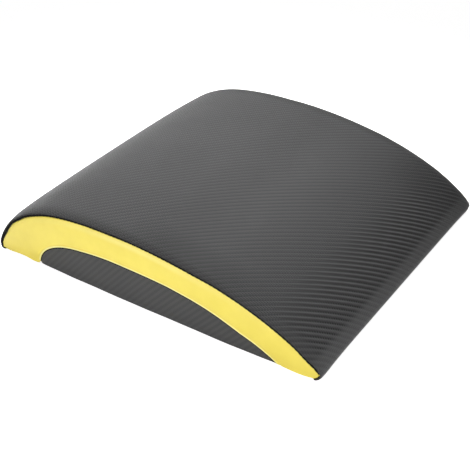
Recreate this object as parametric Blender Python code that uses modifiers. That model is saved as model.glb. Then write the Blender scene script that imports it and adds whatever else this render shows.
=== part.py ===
"""An arched ab mat: a firm foam wedge in a sewn vinyl cover that closes with a zip underneath.

Lengths are in metres and +Z is up. +X points to the low front end of the arch, and -Y to its
near side. The origin lies on the floor under the middle of the mat. The pieces are made round
the middle of the sides, and the whole mat then moves along by half of the bow of its back end.
"""

import math

import bmesh
import bpy
from mathutils import Matrix, Vector

# The whole mat
MAT_LENGTH = 0.370
MAT_WIDTH = 0.312
SIDE_HEIGHT = 0.073
CROWN = 0.002
PEAK_SETBACK = 0.019
BACK_BOW = 0.0050
BOW_REACH = 0.085
FIT = 0.0003

# Bends of the arch on each side of its highest line: z falls as (1 - u ** a) ** (1 / b)
BACK_BEND_SHARES = (3.5, 1.47)
FRONT_BEND_SHARES = (1.83, 1.57)

# Vinyl cover: its long edges roll over to the side seams, its ends roll under the foam
VINYL = 0.0012
EDGE_ROLL = 0.0047
END_ROLL = 0.0065
TUCK = 0.015
UNDER_CURL_SHARE = 0.6
SEAM_DRAW = 0.0015
FULL_PAD_HEIGHT = 0.016

# Half-moon insert in each side
INSERT_HEIGHT = 0.0387
INSERT_SETBACK = 0.036
INSERT_BACK_REACH = 0.092
INSERT_FRONT_REACH = 0.176
INSERT_BACK_BEND_SHARES = (2.6, 2.1)
INSERT_FRONT_BEND_SHARES = (2.1, 1.25)

# Non-slip base cloth, in two panels with a folded hem along the zip
BASE_CLOTH = 0.0012
HEM_BEND = 0.0009
HEM_WIDTH = 0.0065
ZIP_SLOT = 0.0140

# Zip: toothed tapes, stops, slider and pull tab
ZIP_SETBACK = 0.060
ZIP_END = 0.0250
TOOTH_PITCH = 0.0032
TOOTH_HEIGHT = 0.0020
CHAIN_WIDTH = 0.0058
TAPE_WIDTH = 0.0120
TAPE_THICKNESS = 0.0005
TAPE_EDGE = 0.0021
STOP_LENGTH = 0.0030
STOP_INNER = 0.0013
STOP_OUTER = 0.0034
STOP_WEB = 0.0005
RUNNING_FIT = 0.0003
SLIDER_WALL = 0.0008
SLIDER_LENGTH = 0.0125
SLIDER_EDGE = 0.0002
BRIDGE_WIDTH = 0.0020
BRIDGE_WALL = 0.0008
BRIDGE_OPENING = 0.0044
PULL_THICKNESS = 0.0010
PULL_LENGTH = 0.0240
PULL_WIDTH = 0.0064
PULL_EDGE = 0.0002
PULL_HOLE = 0.0022
FLOOR_CLEARANCE = 0.0003
GROOVE_MARGIN = 0.0012
OVERRUN = 0.0100

# Tooth outline on one side of its centre line: x as a share of half the chain's width, measured
# from the chain's middle towards the tape, and y as a share of the pitch
TOOTH_SHARES = ((-0.40, 0.16), (-0.24, 0.266), (-0.02, 0.119), (1.00, 0.225))

# Places along the slider, as shares of its length from its middle, +Y towards the closed chain
SHOULDER_SHARE = 0.06
MOUTH_SHARE = -0.22
CORNER_SHARE = 0.10
DIVIDER_SHARES = (-0.43, -0.27, -0.07)

# Steps of the facets
ROLL_STEPS = 4
BACK_STEPS = 12
FRONT_STEPS = 12
WIDTH_STEPS = 6
CORNER_STEPS = 4
INSERT_STEPS = 9
SEAM_STEPS = 40
PAD_ROW_SHARES = (0.0, 0.05, 0.15, 0.32, 0.5, 0.68, 0.85, 0.95, 1.0)
PAD_POWER_SHARE = 4.0
BOW_BEND_SHARE = 1.5
TIP_SHARES = (0.4, 0.7, 0.9, 0.97)
INSERT_END_SHARE = 0.996

# Sizes that follow from the ones above
HALF_LENGTH = MAT_LENGTH / 2
HALF_WIDTH = MAT_WIDTH / 2
LINING = VINYL + FIT
SEAM_INSET = EDGE_ROLL + FIT
INNER_HALF_WIDTH = HALF_WIDTH - SEAM_DRAW - VINYL - FIT
HALF_CHAIN = CHAIN_WIDTH / 2
HALF_TOOTH = TOOTH_HEIGHT / 2
HALF_SLIDER = HALF_TOOTH + RUNNING_FIT + SLIDER_WALL
PULL_HEIGHT = FLOOR_CLEARANCE + BRIDGE_WALL + RUNNING_FIT + PULL_THICKNESS / 2
ZIP_HEIGHT = PULL_HEIGHT + PULL_THICKNESS / 2 + RUNNING_FIT + HALF_SLIDER
TOOTH_COUNT = round(2 * (INNER_HALF_WIDTH - ZIP_END) / TOOTH_PITCH)
TOOTH_START = -TOOTH_PITCH * (TOOTH_COUNT - 0.5) / 2
HALF_HEAD = TOOTH_PITCH * TOOTH_SHARES[1][1]
TOP_STOP_PLACE = TOOTH_START - HALF_HEAD - FIT - STOP_LENGTH / 2
BOTTOM_STOP_PLACE = -TOP_STOP_PLACE
SLIDER_PLACE = TOP_STOP_PLACE + STOP_LENGTH / 2 - DIVIDER_SHARES[2] * SLIDER_LENGTH

SMOOTH_BELOW = math.radians(40)
VINYL_BLACK = (0.055, 0.055, 0.058)
VINYL_YELLOW = (0.87, 0.68, 0.10)
BASE_BLACK = (0.022, 0.022, 0.024)
FOAM_GREY = (0.20, 0.20, 0.21)
TAPE_BLACK = (0.015, 0.015, 0.016)
ZIP_METAL = (0.05, 0.05, 0.055)


def clear_scene():
    for old in list(bpy.data.objects):
        bpy.data.objects.remove(old, do_unlink=True)


def new_collection(name):
    collection = bpy.data.collections.new(name)
    bpy.context.scene.collection.children.link(collection)
    return collection


def finish(obj, colour, roughness, metallic=0.0):
    """Gives the piece its own material."""
    material = bpy.data.materials.new(obj.name)
    material.use_nodes = True
    shader = material.node_tree.nodes["Principled BSDF"]
    shader.inputs["Base Color"].default_value = (*colour, 1.0)
    shader.inputs["Roughness"].default_value = roughness
    shader.inputs["Metallic"].default_value = metallic
    obj.data.materials.clear()
    obj.data.materials.append(material)
    return obj


def smooth(obj):
    """Shades the round stretches smooth and leaves the real edges sharp."""
    obj.data.shade_smooth()
    obj.data.set_sharp_from_angle(angle=SMOOTH_BELOW)
    return obj


def add_mesh(name, bm, collection):
    mesh = bpy.data.meshes.new(name)
    bm.to_mesh(mesh)
    bm.free()
    obj = bpy.data.objects.new(name, mesh)
    collection.objects.link(obj)
    return obj


def grid_faces(bm, rows, flip=False):
    """Fills the quads between neighbouring rows of vertices."""
    for row, after in zip(rows, rows[1:]):
        for i in range(len(row) - 1):
            corners = [row[i], row[i + 1], after[i + 1], after[i]]
            bm.faces.new(corners[::-1] if flip else corners)


def extruded(name, outline, thickness, turn, collection, hole=None):
    """A flat outline drawn as a 2D curve, filled, given its thickness and turned into place."""
    curve = bpy.data.curves.new(name, "CURVE")
    curve.dimensions = "2D"
    curve.fill_mode = "BOTH"
    curve.extrude = thickness / 2
    for points in [outline] + ([hole] if hole else []):
        spline = curve.splines.new("POLY")
        spline.points.add(len(points) - 1)
        for point, (x, y) in zip(spline.points, points):
            point.co = (x, y, 0, 1)
        spline.use_cyclic_u = True
    drawn = bpy.data.objects.new(name + "_outline", curve)
    collection.objects.link(drawn)
    graph = bpy.context.evaluated_depsgraph_get()
    mesh = bpy.data.meshes.new_from_object(drawn.evaluated_get(graph))
    bpy.data.objects.remove(drawn, do_unlink=True)
    bm = bmesh.new()
    bm.from_mesh(mesh)
    bpy.data.meshes.remove(mesh)
    bmesh.ops.remove_doubles(bm, verts=bm.verts, dist=FIT / 10)
    bmesh.ops.transform(bm, matrix=turn, verts=bm.verts)
    bmesh.ops.recalc_face_normals(bm, faces=bm.faces)
    return add_mesh(name, bm, collection)


def helper(obj):
    """Marks a cutter, or a shape that is joined to another, as not a piece of the mat."""
    obj.hide_render = True
    obj.display_type = "WIRE"
    return obj


def combine(obj, other, operation):
    modifier = obj.modifiers.new(operation.title(), "BOOLEAN")
    modifier.operation = operation
    modifier.object = other
    return obj


def bevel(obj, width, segments=2):
    modifier = obj.modifiers.new("Bevel", "BEVEL")
    modifier.width = width
    modifier.segments = segments
    modifier.limit_method = "ANGLE"
    return obj


def fall(share, bend):
    """Height of a bend, 1 at its top and 0 at its foot, at a share of its reach."""
    power, root = bend
    return max(1 - min(share, 1) ** power, 0) ** (1 / root)


def quarter_shares(steps):
    """Shares of a reach, closer together towards its foot, where the bend is steep."""
    return [math.sin(math.pi / 2 * k / steps) for k in range(steps + 1)]


def arch_side(towards, shares, inset, rise):
    """Points (x, z) of the arch on one side of its highest line, from that line to its foot.

    Each point of the outer outline is moved square to the outline by inset.
    """
    power, root = FRONT_BEND_SHARES if towards > 0 else BACK_BEND_SHARES
    reach = HALF_LENGTH + towards * PEAK_SETBACK
    top = SIDE_HEIGHT + rise - END_ROLL
    points = []
    for share in shares:
        left = 1 - share**power
        if left <= 0:
            out, up = 1.0, 0.0
        else:
            steepness = top * power / root * share ** (power - 1) * left ** (1 / root - 1)
            out = steepness / math.hypot(reach, steepness)
            up = reach / math.hypot(reach, steepness)
        along = reach * share - inset * out
        height = top * max(left, 0) ** (1 / root) - inset * up
        points.append((towards * along - PEAK_SETBACK, END_ROLL + max(height, 0)))
    return points


def arch_outline(back_steps, front_steps, inset, rise=0.0):
    back = arch_side(-1, quarter_shares(back_steps)[1:], inset, rise)
    return back[::-1] + arch_side(1, quarter_shares(front_steps), inset, rise)


def height_on(outline, x):
    """Height of an outline above a place along the mat."""
    for (x_a, z_a), (x_b, z_b) in zip(outline, outline[1:]):
        if x_a <= x <= x_b:
            return z_a + (z_b - z_a) * (x - x_a) / (x_b - x_a)
    return outline[0][1] if x < outline[0][0] else outline[-1][1]


def arch_section(inset, rise, lift, tuck):
    """Points (x, z) from the back tuck over the arch to the front tuck.

    The outline is moved inwards by inset, its top is raised by rise, and its underside by lift.
    """
    foot = HALF_LENGTH - END_ROLL
    turn = []
    for k in range(CORNER_STEPS):
        angle = math.pi / 2 * k / CORNER_STEPS
        out = foot + (END_ROLL - inset) * math.sin(angle)
        turn.append((out, END_ROLL - (END_ROLL - lift) * math.cos(angle)))
    start = [(-HALF_LENGTH + tuck, lift)] + [(-x, z) for x, z in turn]
    end = turn[::-1] + [(HALF_LENGTH - tuck, lift)]
    middle = arch_outline(BACK_STEPS, FRONT_STEPS, inset, rise)
    return (start if tuck else start[1:]) + middle + (end if tuck else end[:-1])


def fullness_at(y):
    """How full the mat is across its width: 1 in the middle and 0 where its edges roll over."""
    flat_half = HALF_WIDTH - EDGE_ROLL
    return max(1 - (y / flat_half) ** 2, 0)


def bowed(x, y):
    """Place along the mat, moved out where the back end bows between its two corners."""
    share = max(-x - HALF_LENGTH + BOW_REACH, 0) / BOW_REACH
    return x - BACK_BOW * fullness_at(y) * share**BOW_BEND_SHARE


def across(roll_radius, roll_reach):
    """Stations (y, drop) from the near edge to the far one: a roll, the crowned top, a roll."""
    centre = HALF_WIDTH - EDGE_ROLL
    last = math.asin(roll_reach / roll_radius)
    edge = [
        (
            centre + roll_radius * math.sin(last * k / ROLL_STEPS),
            roll_radius * (1 - math.cos(last * k / ROLL_STEPS)),
        )
        for k in range(ROLL_STEPS, 0, -1)
    ]
    middle = [(centre * (1 - 2 * k / WIDTH_STEPS), 0.0) for k in range(WIDTH_STEPS + 1)]
    far_to_near = edge + middle + [(-y, drop) for y, drop in reversed(edge)]
    return [(y, drop) for y, drop in reversed(far_to_near)]


def foam_core(collection, cutters):
    """The block: the arch's profile lofted across the width, with a groove below for the zip."""
    bm = bmesh.new()
    rings = []
    roll = EDGE_ROLL - LINING
    reach = INNER_HALF_WIDTH - (HALF_WIDTH - EDGE_ROLL)
    for y, drop in across(roll, reach):
        points = arch_section(LINING + drop, CROWN * fullness_at(y), BASE_CLOTH + FIT, 0)
        rings.append([bm.verts.new((bowed(x, y), y, z)) for x, z in points])
    grid_faces(bm, [ring + ring[:1] for ring in rings])
    bm.faces.new(rings[0])
    bm.faces.new(rings[-1][::-1])
    bmesh.ops.recalc_face_normals(bm, faces=bm.faces)
    core = add_mesh("foam_core", bm, collection)

    half_groove = TAPE_EDGE + TAPE_WIDTH + GROOVE_MARGIN
    top = ZIP_HEIGHT + HALF_SLIDER + GROOVE_MARGIN
    slope = GROOVE_MARGIN
    outline = [
        (-half_groove, -OVERRUN),
        (half_groove, -OVERRUN),
        (half_groove, top - slope),
        (half_groove - slope, top),
        (slope - half_groove, top),
        (-half_groove, top - slope),
    ]
    turn = Matrix.Translation((-ZIP_SETBACK, 0, 0)) @ Matrix.Rotation(math.pi / 2, 4, "X")
    length = MAT_WIDTH + OVERRUN
    groove = helper(extruded("zip_groove_cutter", outline, length, turn, cutters))
    combine(core, groove, "DIFFERENCE")
    return smooth(finish(core, FOAM_GREY, 0.95))


def top_panel(collection):
    """One sheet of vinyl, from its tuck under the back edge over the arch to the front tuck."""
    bm = bmesh.new()
    columns = []
    for y, drop in across(EDGE_ROLL, EDGE_ROLL):
        points = arch_section(drop, CROWN * fullness_at(y), drop * UNDER_CURL_SHARE, TUCK)
        columns.append([bm.verts.new((bowed(x, y), y, z)) for x, z in points])
    grid_faces(bm, columns)
    panel = add_mesh("top_panel", bm, collection)
    sheet = panel.modifiers.new("Thickness", "SOLIDIFY")
    sheet.thickness = VINYL
    sheet.offset = -1
    return smooth(finish(panel, VINYL_BLACK, 0.45))


def insert_low(x, grown):
    """Height of the insert's curved seam, its outline grown on all sides by grown."""
    along = x + INSERT_SETBACK
    bend = INSERT_FRONT_BEND_SHARES if along > 0 else INSERT_BACK_BEND_SHARES
    reach = (INSERT_FRONT_REACH if along > 0 else INSERT_BACK_REACH) + grown
    return (INSERT_HEIGHT + grown) * fall(abs(along) / reach, bend)


def insert_stations(grown, shares):
    back = [-INSERT_SETBACK - (INSERT_BACK_REACH + grown) * share for share in shares[:0:-1]]
    return back + [-INSERT_SETBACK + (INSERT_FRONT_REACH + grown) * share for share in shares]


def end_stations(insert_end, steps):
    """Places along the mat, as distances from its middle, from the insert's foot to the tip."""
    tuck_line = HALF_LENGTH - TUCK
    foot = HALF_LENGTH - END_ROLL
    floor = [insert_end + (tuck_line - FIT - insert_end) * k / steps for k in range(1, steps + 1)]
    tip = [foot + (END_ROLL - SEAM_INSET) * share for share in TIP_SHARES]
    return floor + [tuck_line, (tuck_line + foot) / 2, foot] + tip


def band_low(x):
    """Lower edge of the crescent band: the insert's seam, the floor, or the curl at the corner."""
    distance = abs(x)
    lift = EDGE_ROLL * UNDER_CURL_SHARE + FIT
    foot = HALF_LENGTH - END_ROLL
    if distance >= foot:
        share = (distance - foot) / (END_ROLL - SEAM_INSET)
        return END_ROLL - (END_ROLL - lift) * math.sqrt(1 - share * share)
    if distance >= HALF_LENGTH - TUCK:
        return lift
    return insert_low(x, FIT)


def padded_plate(name, stations, low, high, side, collection):
    """A sewn side panel: crowned in front, drawn in at its seams, and flat against the foam."""
    bm = bmesh.new()
    back_y = HALF_WIDTH - SEAM_DRAW - VINYL
    fronts = []
    backs = []
    for x in stations:
        bottom = low(x)
        height = high(x) - bottom
        fullness = min(height / FULL_PAD_HEIGHT, 1)
        front = []
        back = []
        for share in PAD_ROW_SHARES:
            pillow = 1 - abs(2 * share - 1) ** PAD_POWER_SHARE
            y = HALF_WIDTH - SEAM_DRAW * (1 - fullness * pillow)
            z = bottom + height * share
            front.append(bm.verts.new((x, side * y, z)))
            back.append(bm.verts.new((x, side * back_y, z)))
        fronts.append(front)
        backs.append(back)
    grid_faces(bm, fronts)
    grid_faces(bm, backs, flip=True)
    grid_faces(bm, [[row[0] for row in backs], [row[0] for row in fronts]])
    grid_faces(bm, [[row[-1] for row in fronts], [row[-1] for row in backs]])
    grid_faces(bm, [backs[0], fronts[0]], flip=True)
    grid_faces(bm, [backs[-1], fronts[-1]])
    bmesh.ops.recalc_face_normals(bm, faces=bm.faces)
    return add_mesh(name, bm, collection)


def side_panels(collection):
    """On each side, the crescent band and the half-moon insert below it."""
    seam = arch_outline(SEAM_STEPS, SEAM_STEPS, SEAM_INSET)
    shares = quarter_shares(INSERT_STEPS)[:-1] + [INSERT_END_SHARE]
    middle = insert_stations(FIT, shares + [1.0])
    back_end = [-x for x in reversed(end_stations(-middle[0], 5))]
    band_stations = back_end + middle + end_stations(middle[-1], 4)
    for place, side in (("near", -1), ("far", 1)):
        band = padded_plate(
            f"side_band_{place}",
            band_stations,
            band_low,
            lambda x: height_on(seam, x),
            side,
            collection,
        )
        smooth(finish(band, VINYL_YELLOW, 0.45))
        insert = padded_plate(
            f"side_insert_{place}",
            insert_stations(0, shares),
            lambda x: 0.0,
            lambda x: insert_low(x, 0),
            side,
            collection,
        )
        smooth(finish(insert, VINYL_BLACK, 0.45))


def bend(centre_x, centre_z, radius, start, sweep, steps=3):
    """Points on an arc in the side plane, from angle start through sweep."""
    return [
        (
            centre_x + radius * math.cos(start + sweep * k / steps),
            centre_z + radius * math.sin(start + sweep * k / steps),
        )
        for k in range(steps + 1)
    ]


def base_panel(name, towards, collection):
    """A base cloth panel: flat on the floor, then up beside the zip and back in a hem."""
    low = BASE_CLOTH / 2
    high = ZIP_HEIGHT - TAPE_THICKNESS / 2 - FIT - BASE_CLOTH / 2
    wall = ZIP_SLOT / 2 + BASE_CLOTH / 2
    seam = HALF_LENGTH - TUCK - FIT + towards * ZIP_SETBACK
    path = [(seam, low)]
    path += bend(wall + HEM_BEND, low + HEM_BEND, HEM_BEND, -math.pi / 2, -math.pi / 2)
    path += bend(wall + HEM_BEND, high - HEM_BEND, HEM_BEND, math.pi, -math.pi / 2)
    path.append((ZIP_SLOT / 2 + HEM_WIDTH, high))
    flat_half = HALF_WIDTH - EDGE_ROLL
    stations = [flat_half * (2 * k / WIDTH_STEPS - 1) for k in range(WIDTH_STEPS + 1)]
    bm = bmesh.new()
    rows = [
        [bm.verts.new((bowed(towards * x - ZIP_SETBACK, y), y, z)) for x, z in path]
        for y in [-INNER_HALF_WIDTH, *stations, INNER_HALF_WIDTH]
    ]
    grid_faces(bm, rows)
    panel = add_mesh(name, bm, collection)
    sheet = panel.modifiers.new("Thickness", "SOLIDIFY")
    sheet.thickness = BASE_CLOTH
    sheet.offset = 0
    sheet.use_even_offset = True
    return smooth(finish(panel, BASE_BLACK, 0.9))


def zip_tape(name, towards, collection, cutters):
    """Half of the zip: a woven tape with a row of teeth moulded on to its edge."""
    outline = [
        (TAPE_EDGE, -INNER_HALF_WIDTH),
        (TAPE_EDGE + TAPE_WIDTH, -INNER_HALF_WIDTH),
        (TAPE_EDGE + TAPE_WIDTH, INNER_HALF_WIDTH),
        (TAPE_EDGE, INNER_HALF_WIDTH),
    ]
    place = Matrix.Translation((-ZIP_SETBACK, 0, ZIP_HEIGHT))
    turn = place @ Matrix.Diagonal((towards, 1, 1, 1))
    tape = extruded(name, outline, TAPE_THICKNESS, turn, collection)

    shift = 0 if towards > 0 else TOOTH_PITCH / 2
    first = TOOTH_START + shift
    side = [(HALF_CHAIN * x, TOOTH_PITCH * y) for x, y in TOOTH_SHARES]
    tooth_outline = [(x, -y) for x, y in side] + [(x, y) for x, y in reversed(side)]
    tooth_turn = turn @ Matrix.Translation((0, first, 0))
    teeth = extruded(name + "_teeth", tooth_outline, TOOTH_HEIGHT, tooth_turn, cutters)
    row = teeth.modifiers.new("Row", "ARRAY")
    row.count = TOOTH_COUNT
    row.use_relative_offset = False
    row.use_constant_offset = True
    row.constant_offset_displace = (0, TOOTH_PITCH, 0)

    combine(tape, helper(teeth), "UNION")
    return finish(tape, TAPE_BLACK, 0.6)


def standing(place_y):
    """Turns an outline drawn in X and Z so that it is extruded along the zip."""
    place = Matrix.Translation((-ZIP_SETBACK, place_y, ZIP_HEIGHT))
    return place @ Matrix.Rotation(math.pi / 2, 4, "X")


def zip_stops(collection):
    """A clip on each tape where the slider closes, and one across both tapes where it opens."""
    slot = TAPE_THICKNESS / 2 + FIT
    web = STOP_INNER + STOP_WEB
    for place, towards in (("front", 1), ("rear", -1)):
        outline = [
            (STOP_INNER, -HALF_TOOTH),
            (STOP_OUTER, -HALF_TOOTH),
            (STOP_OUTER, -slot),
            (web, -slot),
            (web, slot),
            (STOP_OUTER, slot),
            (STOP_OUTER, HALF_TOOTH),
            (STOP_INNER, HALF_TOOTH),
        ]
        outline = [(towards * x, z) for x, z in outline]
        turn = standing(TOP_STOP_PLACE)
        clip = extruded(f"zip_top_stop_{place}", outline, STOP_LENGTH, turn, collection)
        finish(clip, ZIP_METAL, 0.4, 1.0)
    half = [
        (STOP_OUTER, -HALF_TOOTH),
        (STOP_OUTER, -slot),
        (web, -slot),
        (web, slot),
        (STOP_OUTER, slot),
        (STOP_OUTER, HALF_TOOTH),
    ]
    outline = half + [(-x, z) for x, z in reversed(half)]
    turn = standing(BOTTOM_STOP_PLACE)
    finish(extruded("zip_bottom_stop", outline, STOP_LENGTH, turn, collection), ZIP_METAL, 0.4, 1.0)


def slider_outline(rear_half, mouth_half, front, back):
    """Plan of the slider on one side: narrow over the closed chain, wide at its two mouths."""
    shoulder = SHOULDER_SHARE * SLIDER_LENGTH
    mouth = MOUTH_SHARE * SLIDER_LENGTH
    corner = CORNER_SHARE * SLIDER_LENGTH
    half = [
        (mouth_half - corner, front),
        (mouth_half, front + corner),
        (mouth_half, mouth),
        (rear_half, shoulder),
        (rear_half, back - corner),
        (rear_half - corner, back),
    ]
    return half + [(-x, y) for x, y in reversed(half)]


def zip_slider(collection, cutters):
    """Two wings joined by a divider, with side flanges, and a bridge below that holds the tab."""
    rear = HALF_CHAIN + RUNNING_FIT
    mouth = STOP_OUTER + FIT
    half_length = SLIDER_LENGTH / 2
    place = Matrix.Translation((-ZIP_SETBACK, SLIDER_PLACE, ZIP_HEIGHT))
    outline = slider_outline(rear + SLIDER_WALL, mouth + SLIDER_WALL, -half_length, half_length)
    slider = extruded("zip_slider", outline, 2 * HALF_SLIDER, place, collection)
    bevel(slider, SLIDER_EDGE)

    opening = BRIDGE_OPENING / 2
    leg = opening + BRIDGE_WALL
    inner = -HALF_SLIDER - 2 * RUNNING_FIT - PULL_THICKNESS
    outer = inner - BRIDGE_WALL
    root = -HALF_SLIDER + SLIDER_WALL / 2
    turned = BRIDGE_WALL / 2
    half = [
        (opening, root),
        (leg, root),
        (leg, outer + turned),
        (leg - turned, outer),
    ]
    ring = half + [(-y, z) for y, z in reversed(half)]
    ring += [
        (-opening, inner + turned),
        (turned - opening, inner),
        (opening - turned, inner),
        (opening, inner + turned),
    ]
    upright = place @ Matrix.Rotation(math.pi / 2, 4, "Z") @ Matrix.Rotation(math.pi / 2, 4, "X")
    bridge = extruded("slider_bridge", ring, BRIDGE_WIDTH, upright, cutters)
    combine(slider, helper(bridge), "UNION")

    channel = slider_outline(rear, mouth, -half_length - OVERRUN, half_length + OVERRUN)
    inside = 2 * (HALF_TOOTH + RUNNING_FIT)
    cavity = extruded("slider_channel_cutter", channel, inside, place, cutters)
    combine(slider, helper(cavity), "DIFFERENCE")
    span = mouth + OVERRUN
    reach = half_length + OVERRUN
    plate = [(-span, -reach), (span, -reach), (span, reach), (-span, reach)]
    gap = TAPE_THICKNESS + 2 * RUNNING_FIT
    slit = extruded("slider_tape_slit_cutter", plate, gap, place, cutters)
    combine(slider, helper(slit), "DIFFERENCE")

    nose, middle, tail = (share * SLIDER_LENGTH for share in DIVIDER_SHARES)
    wide = STOP_INNER - FIT
    wedge = [(0, nose), (wide, middle - wide / 2), (wide, middle + wide / 2), (wide / 3, tail)]
    wedge += [(-wide / 3, tail), (-wide, middle + wide / 2), (-wide, middle - wide / 2)]
    divider = extruded("slider_divider", wedge, 2 * HALF_SLIDER - SLIDER_WALL, place, cutters)
    combine(slider, helper(divider), "UNION")
    return smooth(finish(slider, ZIP_METAL, 0.35, 1.0))


def zip_pull(collection, cutters):
    """The tab: its end bar turns in the slider's bridge, and its prongs pass on either side."""
    bar = PULL_THICKNESS / 2
    half = PULL_WIDTH / 2
    taper = PULL_WIDTH / 6
    outline = [(-half + taper, -bar), (half - taper, -bar), (half - taper, PULL_LENGTH / 3)]
    outline += [(half, PULL_LENGTH / 2), (half, PULL_LENGTH - half)]
    outline += [
        (half * math.cos(angle), PULL_LENGTH - half + half * math.sin(angle))
        for angle in (math.pi * k / 8 for k in range(1, 8))
    ]
    outline += [(-half, PULL_LENGTH - half), (-half, PULL_LENGTH / 2)]
    outline += [(-half + taper, PULL_LENGTH / 3)]
    window_half = BRIDGE_WIDTH / 2 + RUNNING_FIT
    window_end = BRIDGE_OPENING / 2 + BRIDGE_WALL + PULL_THICKNESS
    window = [(-window_half, bar), (window_half, bar)]
    window += [(window_half, window_end), (-window_half, window_end)]
    depth = PULL_HEIGHT - ZIP_HEIGHT
    place = Matrix.Translation((-ZIP_SETBACK, SLIDER_PLACE, ZIP_HEIGHT + depth))
    level = Matrix.Identity(4)
    tab = extruded("zip_pull", outline, PULL_THICKNESS, level, collection, hole=window)
    tab.matrix_world = place
    bevel(tab, PULL_EDGE)
    bm = bmesh.new()
    bmesh.ops.create_cone(
        bm,
        cap_ends=True,
        segments=16,
        radius1=PULL_HOLE / 2,
        radius2=PULL_HOLE / 2,
        depth=OVERRUN,
        matrix=place @ Matrix.Translation((0, PULL_LENGTH - half, 0)),
    )
    combine(tab, helper(add_mesh("pull_hole_cutter", bm, cutters)), "DIFFERENCE")
    return smooth(finish(tab, ZIP_METAL, 0.35, 1.0))


def main():
    clear_scene()
    mat = new_collection("ab_mat")
    cutters = new_collection("cutters")
    foam_core(mat, cutters)
    top_panel(mat)
    side_panels(mat)
    base_panel("base_panel_front", 1, mat)
    base_panel("base_panel_rear", -1, mat)
    zip_tape("zip_tape_front", 1, mat, cutters)
    zip_tape("zip_tape_rear", -1, mat, cutters)
    zip_stops(mat)
    zip_slider(mat, cutters)
    zip_pull(mat, cutters)
    for piece in [*mat.objects, *cutters.objects]:
        piece.location.x += BACK_BOW / 2


main()
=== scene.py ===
# %% [markdown]
# # An arched ab mat
# The mat is a firm foam wedge in a sewn vinyl cover. The cover is cut from flat sheets: one long
# panel over the arch, a yellow crescent and a dark half-moon on each side, and a base cloth in two
# halves that close with a zip. The solids of every piece come ready made, and this lesson dresses
# them: each soft piece is made again with its seams, puckers and weave, and the metal of the zip
# keeps its solid and gets a better finish.

import math

import bmesh
import bpy
import numpy as np
from mathutils import Matrix, Vector


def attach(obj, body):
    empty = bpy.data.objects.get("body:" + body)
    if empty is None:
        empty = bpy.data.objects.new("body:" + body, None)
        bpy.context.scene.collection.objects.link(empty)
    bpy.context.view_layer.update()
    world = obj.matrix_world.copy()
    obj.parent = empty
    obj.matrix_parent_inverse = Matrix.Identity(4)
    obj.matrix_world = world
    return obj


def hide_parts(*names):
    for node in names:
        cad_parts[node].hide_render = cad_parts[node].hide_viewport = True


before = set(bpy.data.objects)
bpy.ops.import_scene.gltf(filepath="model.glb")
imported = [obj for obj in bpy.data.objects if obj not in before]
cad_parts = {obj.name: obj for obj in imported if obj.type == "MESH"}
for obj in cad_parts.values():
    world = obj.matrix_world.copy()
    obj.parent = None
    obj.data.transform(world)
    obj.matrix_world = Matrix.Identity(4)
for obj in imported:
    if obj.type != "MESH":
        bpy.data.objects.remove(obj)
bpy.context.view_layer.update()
print("solids:", sorted(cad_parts))

# %% [markdown]
# ## The camera
# The photograph looks down at the near front corner. Its place could be found by eye, but a small
# error shows at once in how fast the two long edges draw together. So it was solved from points on
# the outline and the seams, and is written here as a direction, a distance and a slight roll.

# %% Camera
PHOTO_WIDTH_PX = 470
FOCAL_PX = 971.7
SENSOR_MM = 36
AZIMUTH = math.radians(34.85)
ELEVATION = math.radians(34.16)
ROLL = math.radians(-1.44)
DISTANCE = 0.9986
SHIFT_LEFT = 0.0044
SHIFT_DOWN = 0.0065
FORWARD = 0.0025  # how far the middle of the sewn cover lies in front of the origin


def new_object(name, data):
    """An object in the scene that holds a mesh, a light or a camera."""
    made = bpy.data.objects.new(name, data)
    bpy.context.scene.collection.objects.link(made)
    return made


level = math.cos(ELEVATION)
to_camera = Vector((math.sin(AZIMUTH) * level, -math.cos(AZIMUTH) * level, math.sin(ELEVATION)))
level_right = Vector((math.cos(AZIMUTH), math.sin(AZIMUTH), 0))
level_up = to_camera.cross(level_right)
right = math.cos(ROLL) * level_right + math.sin(ROLL) * level_up
facing = Matrix((right, to_camera.cross(right), to_camera)).transposed().to_4x4()
place = to_camera * DISTANCE - level_right * SHIFT_LEFT - level_up * SHIFT_DOWN
place = place + Vector((FORWARD, 0, 0))

camera_data = bpy.data.cameras.new("camera")
camera_data.sensor_width = SENSOR_MM
camera_data.lens = FOCAL_PX / PHOTO_WIDTH_PX * SENSOR_MM
camera_data.clip_start = 0.01
camera = new_object("camera", camera_data)
camera.matrix_world = Matrix.Translation(place) @ facing
bpy.context.scene.camera = camera
bpy.context.scene.view_settings.view_transform = "Standard"
print("lens", round(camera_data.lens, 1), "mm, camera at", [round(c, 3) for c in place])

# %% [markdown]
# ## Formulas made of nodes
# The floor, the room and every finish are trees of nodes. Wired one link at a time they are long
# and hard to read. So what flows out of a node gets the usual signs here, and a sum that is
# written in Python adds the nodes that work it out.

# %% What flows out of a node
def plug(value, socket):
    """Links what flows out of a node to an input, or sets the input to a constant."""
    if isinstance(value, Flow):
        socket.id_data.links.new(value.socket, socket)
    else:
        socket.default_value = value


def add_node(tree, kind, settings, inputs):
    node = tree.nodes.new(kind)
    for name, value in settings.items():
        setattr(node, name, value)
    for name, value in inputs.items():
        plug(value, node.inputs[name])
    return node


def math_node(tree, operation, *values):
    settings = {"operation": operation}
    return Flow(add_node(tree, "ShaderNodeMath", settings, dict(enumerate(values))).outputs[0])


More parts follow.
